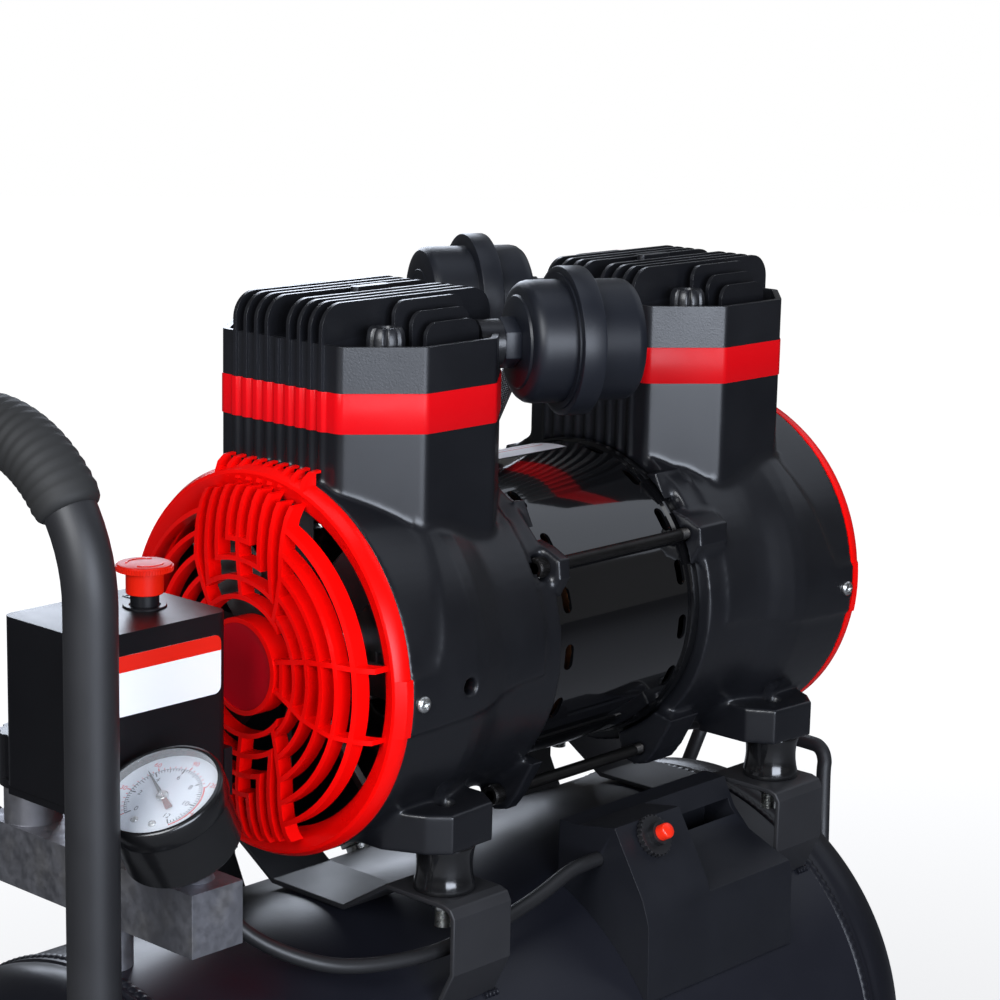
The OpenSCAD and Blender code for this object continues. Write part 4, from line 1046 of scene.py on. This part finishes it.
def gauge():
    place = gauge_frame()
    hub = place.translation
    out = Vector(place.col[2][:3])
    case = [(0, -29), (23.2, -29), (24.2, -28.6), (25.5, -27), (25.5, -16.2), (25.8, -16.0),
            (25.8, -6.2), (26.6, -5.6), (27.0, -5.0), (27.0, 2.6), (26.7, 3.6), (25.9, 4.3),
            (25.0, 4.4), (24.6, 4.0), (24.6, -1.0), (0, -1.0)]
    add("gauge_housing", lathe(case, hub, out, 128), "chassis", "gauge_black", ["gauge_case"],
        angle=35)
    dial = lathe([(1.0, -1.0), (24.5, -1.0), (24.5, -0.4), (1.0, -0.4), (1.0, -1.0)], hub, out, 96)
    add("dial_plate", dial, "chassis", "dial_white", ["gauge_dial"], angle=30)
    face = place @ Matrix.Translation(Vector((0, 0, -0.4)) * MM)
    sweep_deg = GAUGE_FULL - GAUGE_ZERO
    black, red = [], []
    ring = lambda r0, r1, a, b: arc(0, 0, r0, a, b, 60) + arc(0, 0, r1, b, a, 60)
    black.append(slab(ring(16.6, 16.8, GAUGE_ZERO, GAUGE_FULL), 0, 0.05, face))
    red.append(slab(ring(17.2, 17.9, GAUGE_ZERO + sweep_deg * 8.5 / 12, GAUGE_FULL), 0, 0.05, face))
    for k in range(61):
        degrees = GAUGE_ZERO + sweep_deg * k / 60
        long = k % 10 == 0
        black.append(tick(face, 14.0 if long else (14.6 if k % 5 == 0 else 15.3), 16.7, degrees,
                          0.6 if long else 0.34))
    for k in range(35):
        degrees = GAUGE_ZERO + sweep_deg * k / 34.1
        long = k % 6 == 0
        red.append(tick(face, 17.0, 18.8 if long else 18.0, degrees, 0.5 if long else 0.3))
    for k in range(0, 13, 2):
        black.append(numeral(str(k), face, 11.8, GAUGE_ZERO + sweep_deg * k / 12, 3.6))
    for k in range(0, 151, 30):
        red.append(numeral(str(k), face, 20.9, GAUGE_ZERO + sweep_deg * k / 170.6, 3.4))
    add("dial_scale", joined(black), "chassis", "dial_white", material=INK_BLACK)
    add("dial_outer_scale", joined(red), "chassis", "dial_white", material=INK_RED)
    screws = [pan_head(face @ Matrix.Translation(Vector((-14.5, y, 0)) * MM), 1.7, 0.9)
              for y in (4.6, -4.6)]
    add("dial_screws", joined(screws), "chassis", "zinc", angle=40)
    pane = lathe([(0, 3.0), (24.5, 3.0), (24.5, 3.8), (0, 4.0)], hub, out, 96)
    add("gauge_pane", pane, "chassis", "gauge_glass", ["gauge_glass"], angle=40)


def needle():
    place = gauge_frame()
    turned = place @ Matrix.Rotation(math.radians(54), 4, "Z")
    blade = slab([(-2.0, -0.9), (2.4, -0.85), (17.8, -0.16), (18.2, 0), (17.8, 0.16), (2.4, 0.85),
                  (-2.0, 0.9)], 0.5, 0.95, turned)
    out = place.col[2][:3]
    axle = lathe([(0, -0.9), (0.9, -0.9), (0.9, 0.6), (0, 0.6)], place.translation, out, 32)
    add("needle_blade", joined([blade, axle]), "needle", "needle_black", ["gauge_needle"])
    tail = slab([(-9.0, -1.35), (-8.4, -1.6), (-2.0, -1.0), (-2.0, 1.0), (-8.4, 1.6), (-9.0, 1.35)],
                0.5, 0.95, turned)
    add("needle_tail", tail, "needle", "needle_black", material=NEEDLE_TAIL)
    boss = lathe([(0, 0.3), (2.6, 0.3), (2.6, 1.2), (2.1, 1.6), (0.8, 1.6), (0.5, 1.3), (0, 1.3)],
                 place.translation, out, 48)
    add("needle_boss", boss, "needle", "zinc", angle=40)


def outlet():
    soften("manifold", 1.0, 35, 3)
    soften("brass_fittings", 0.35, 35)
    soften("regulator_knob", 0.8, 35)
    soften("coupler_sleeve", 0.4, 35)
    soften("safety_ring", 0.2, 40)
    soften("drain_knob", 0.6, 35)


# ---------------------------------------------------------------- lead and hoses

LEAD = ((-231, -20, -36), (-231, -21, -52), (-230, -28, -78), (-218, -46, -104), (-190, -68, -120),
        (-150, -79, -125), (-110, -81, -124), (-70, -79, -119), (-40, -76, -113), (-24, -75, -112),
        (-13, -75, -112))
CROSS_HOSE = ((-108, 77, 116), (-108, 79, 116), (-108, 84, 116), (-96, 92, 113), (-60, 96, 108),
              (0, 97, 106), (52, 96, 108), (88, 92, 113), (100, 84, 116), (100, 79, 116),
              (100, 77, 116))
DOWN_HOSE = ((116, 77, 116), (116, 79, 116), (116, 86, 116), (110, 98, 101), (92, 106, 60),
             (56, 110, 0), (8, 112, -56), (-24, 106, -88), (-38, 90, -98), (-40, 79.5, -112.3),
             (-40, 73.5, -122.7))


def lead_and_hoses():
    lead = tube(spline([at(*p) for p in LEAD], 14), 3.5, 24)
    add("switch_lead", lead, "chassis", "lead_black", ["control_lead"], angle=60)
    hoses = [tube(spline([at(*p) for p in route], 16), 5.0, 32)
             for route in (CROSS_HOSE, DOWN_HOSE)]
    add("steel_hoses", joined(hoses), "chassis", "hose_braid", ["delivery_hoses"], angle=60)
    soften("hose_ends", 0.4, 35)


# ---------------------------------------------------------------- studio

CAMERA_BACK_FROM = (-944.2, -851.8, 317.8)
CAMERA_TURN, CAMERA_TILT, CAMERA_ROLL = -46.74, 11.75, 1.095


def camera():
    data = bpy.data.cameras.new("camera")
    data.lens = 94.57
    data.sensor_width = 36.0
    data.shift_x = 0.0396
    data.shift_y = -0.0054
    data.clip_end = 50
    cam = bpy.data.objects.new("camera", data)
    bpy.context.scene.collection.objects.link(cam)
    turn, tilt, roll = (math.radians(a) for a in (CAMERA_TURN, CAMERA_TILT, CAMERA_ROLL))
    level = math.cos(tilt)
    back = Vector((math.sin(turn) * level, -math.cos(turn) * level, math.sin(tilt)))
    level = Vector((math.cos(turn), math.sin(turn), 0))
    up = back.cross(level)
    right = math.cos(roll) * level + math.sin(roll) * up
    over = back.cross(right)
    cam.matrix_world = basis(at(*CAMERA_BACK_FROM), right, back)
    assert over.z > 0
    bpy.context.scene.camera = cam


def floor():
    bpy.ops.mesh.primitive_circle_add(vertices=96, radius=7.0, fill_type="NGON",
                                      location=(0, 0, -0.0005))
    obj = bpy.context.object
    obj.name = "floor"
    shader = Shader("FloorPaper", (0.16, 0.16, 0.165), 0.7, Specular_IOR_Level=0.2)
    shader.roughness(shader.noise(3.0, 3.0), 0.65, 0.75)
    shader.bump(shader.noise(700.0, 2.0), 0.02)
    # it runs into the white wall for the camera, and is a dark floor to the black paint above it; its glow dims
    # towards the middle, a painted shadow under the object
    rays, near = shader.nodes.new("ShaderNodeLightPath"), shader.nodes.new("ShaderNodeTexGradient")
    near.gradient_type = "SPHERICAL"
    spread = shader.nodes.new("ShaderNodeMapping")
    shader.set(spread, "Scale", (0.55, 0.55, 0.55))
    shader.links.new(shader.place, spread.inputs["Vector"])
    shader.links.new(spread.outputs["Vector"], near.inputs["Vector"])
    wall_glow_and_painted_shadow = shader.nodes.new("ShaderNodeMath")
    wall_glow_and_painted_shadow.operation = "MULTIPLY"
    # glow 0.72 near the middle and 1.0 far out: a painted shadow round the object's foot
    shader.links.new(shader.span(near.outputs["Fac"], 1.0, 0.72, 0.0, 0.7), wall_glow_and_painted_shadow.inputs[0])
    shader.links.new(rays.outputs["Is Camera Ray"], wall_glow_and_painted_shadow.inputs[1])
    shader.set(shader.bsdf, "Emission Color", (1, 1, 1, 1))
    shader.links.new(wall_glow_and_painted_shadow.outputs[0], shader.bsdf.inputs["Emission Strength"])
    obj.data.materials.append(shader.material)


def softbox(name, place, size, power, aim=None, colour=(1, 1, 1)):
    light = bpy.data.lights.new(name, "AREA")
    light.shape = "RECTANGLE"
    light.size, light.size_y = size
    light.energy = power
    light.color = colour
    obj = bpy.data.objects.new(name, light)
    obj.location = place
    obj.rotation_mode = "QUATERNION"
    obj.rotation_quaternion = (Vector(aim or PUMP) - Vector(place)).to_track_quat("-Z", "Y")
    bpy.context.scene.collection.objects.link(obj)


def studio():
    world = bpy.data.worlds.new("studio")
    bpy.context.scene.world = world
    world.use_nodes = True
    nodes, links = world.node_tree.nodes, world.node_tree.links
    nodes.clear()
    seen, lit = nodes.new("ShaderNodeBackground"), nodes.new("ShaderNodeBackground")
    seen.inputs["Color"].default_value = (1, 1, 1, 1)
    seen.inputs["Strength"].default_value = 1.0
    lit.inputs["Color"].default_value = (1, 1, 1, 1)
    lit.inputs["Strength"].default_value = 0.09
    rays, mix, out = (nodes.new("ShaderNodeLightPath"), nodes.new("ShaderNodeMixShader"),
                      nodes.new("ShaderNodeOutputWorld"))
    links.new(rays.outputs["Is Camera Ray"], mix.inputs[0])
    links.new(lit.outputs[0], mix.inputs[1])
    links.new(seen.outputs[0], mix.inputs[2])
    links.new(mix.outputs[0], out.inputs["Surface"])
    cool = (0.80, 0.87, 1.0)
    softbox("key", (-1.9, -0.6, 1.5), (1.1, 1.1), 48, colour=(0.93, 0.96, 1.0))
    softbox("front", (-0.8, -2.1, 0.8), (1.5, 1.1), 58, colour=cool)
    softbox("over", (1.7, -0.3, 1.9), (2.2, 1.5), 7, colour=cool)
    softbox("top", (0.1, 0.0, 2.4), (1.4, 0.9), 5, colour=cool)
    softbox("rear", (1.2, 1.7, 1.3), (0.9, 0.9), 20, colour=cool)
    bpy.context.scene.view_settings.view_transform = "Standard"


receiver()
bracket_welds()
lifting_bar()
pull_handle()
wheels()
running_gear()
motor_and_cylinders()
inner_works()
control_box()
reset_button()
switch_top()
switch_case()
plain_label()
gauge()
needle()
outlet()
lead_and_hoses()
camera()
floor()
studio()
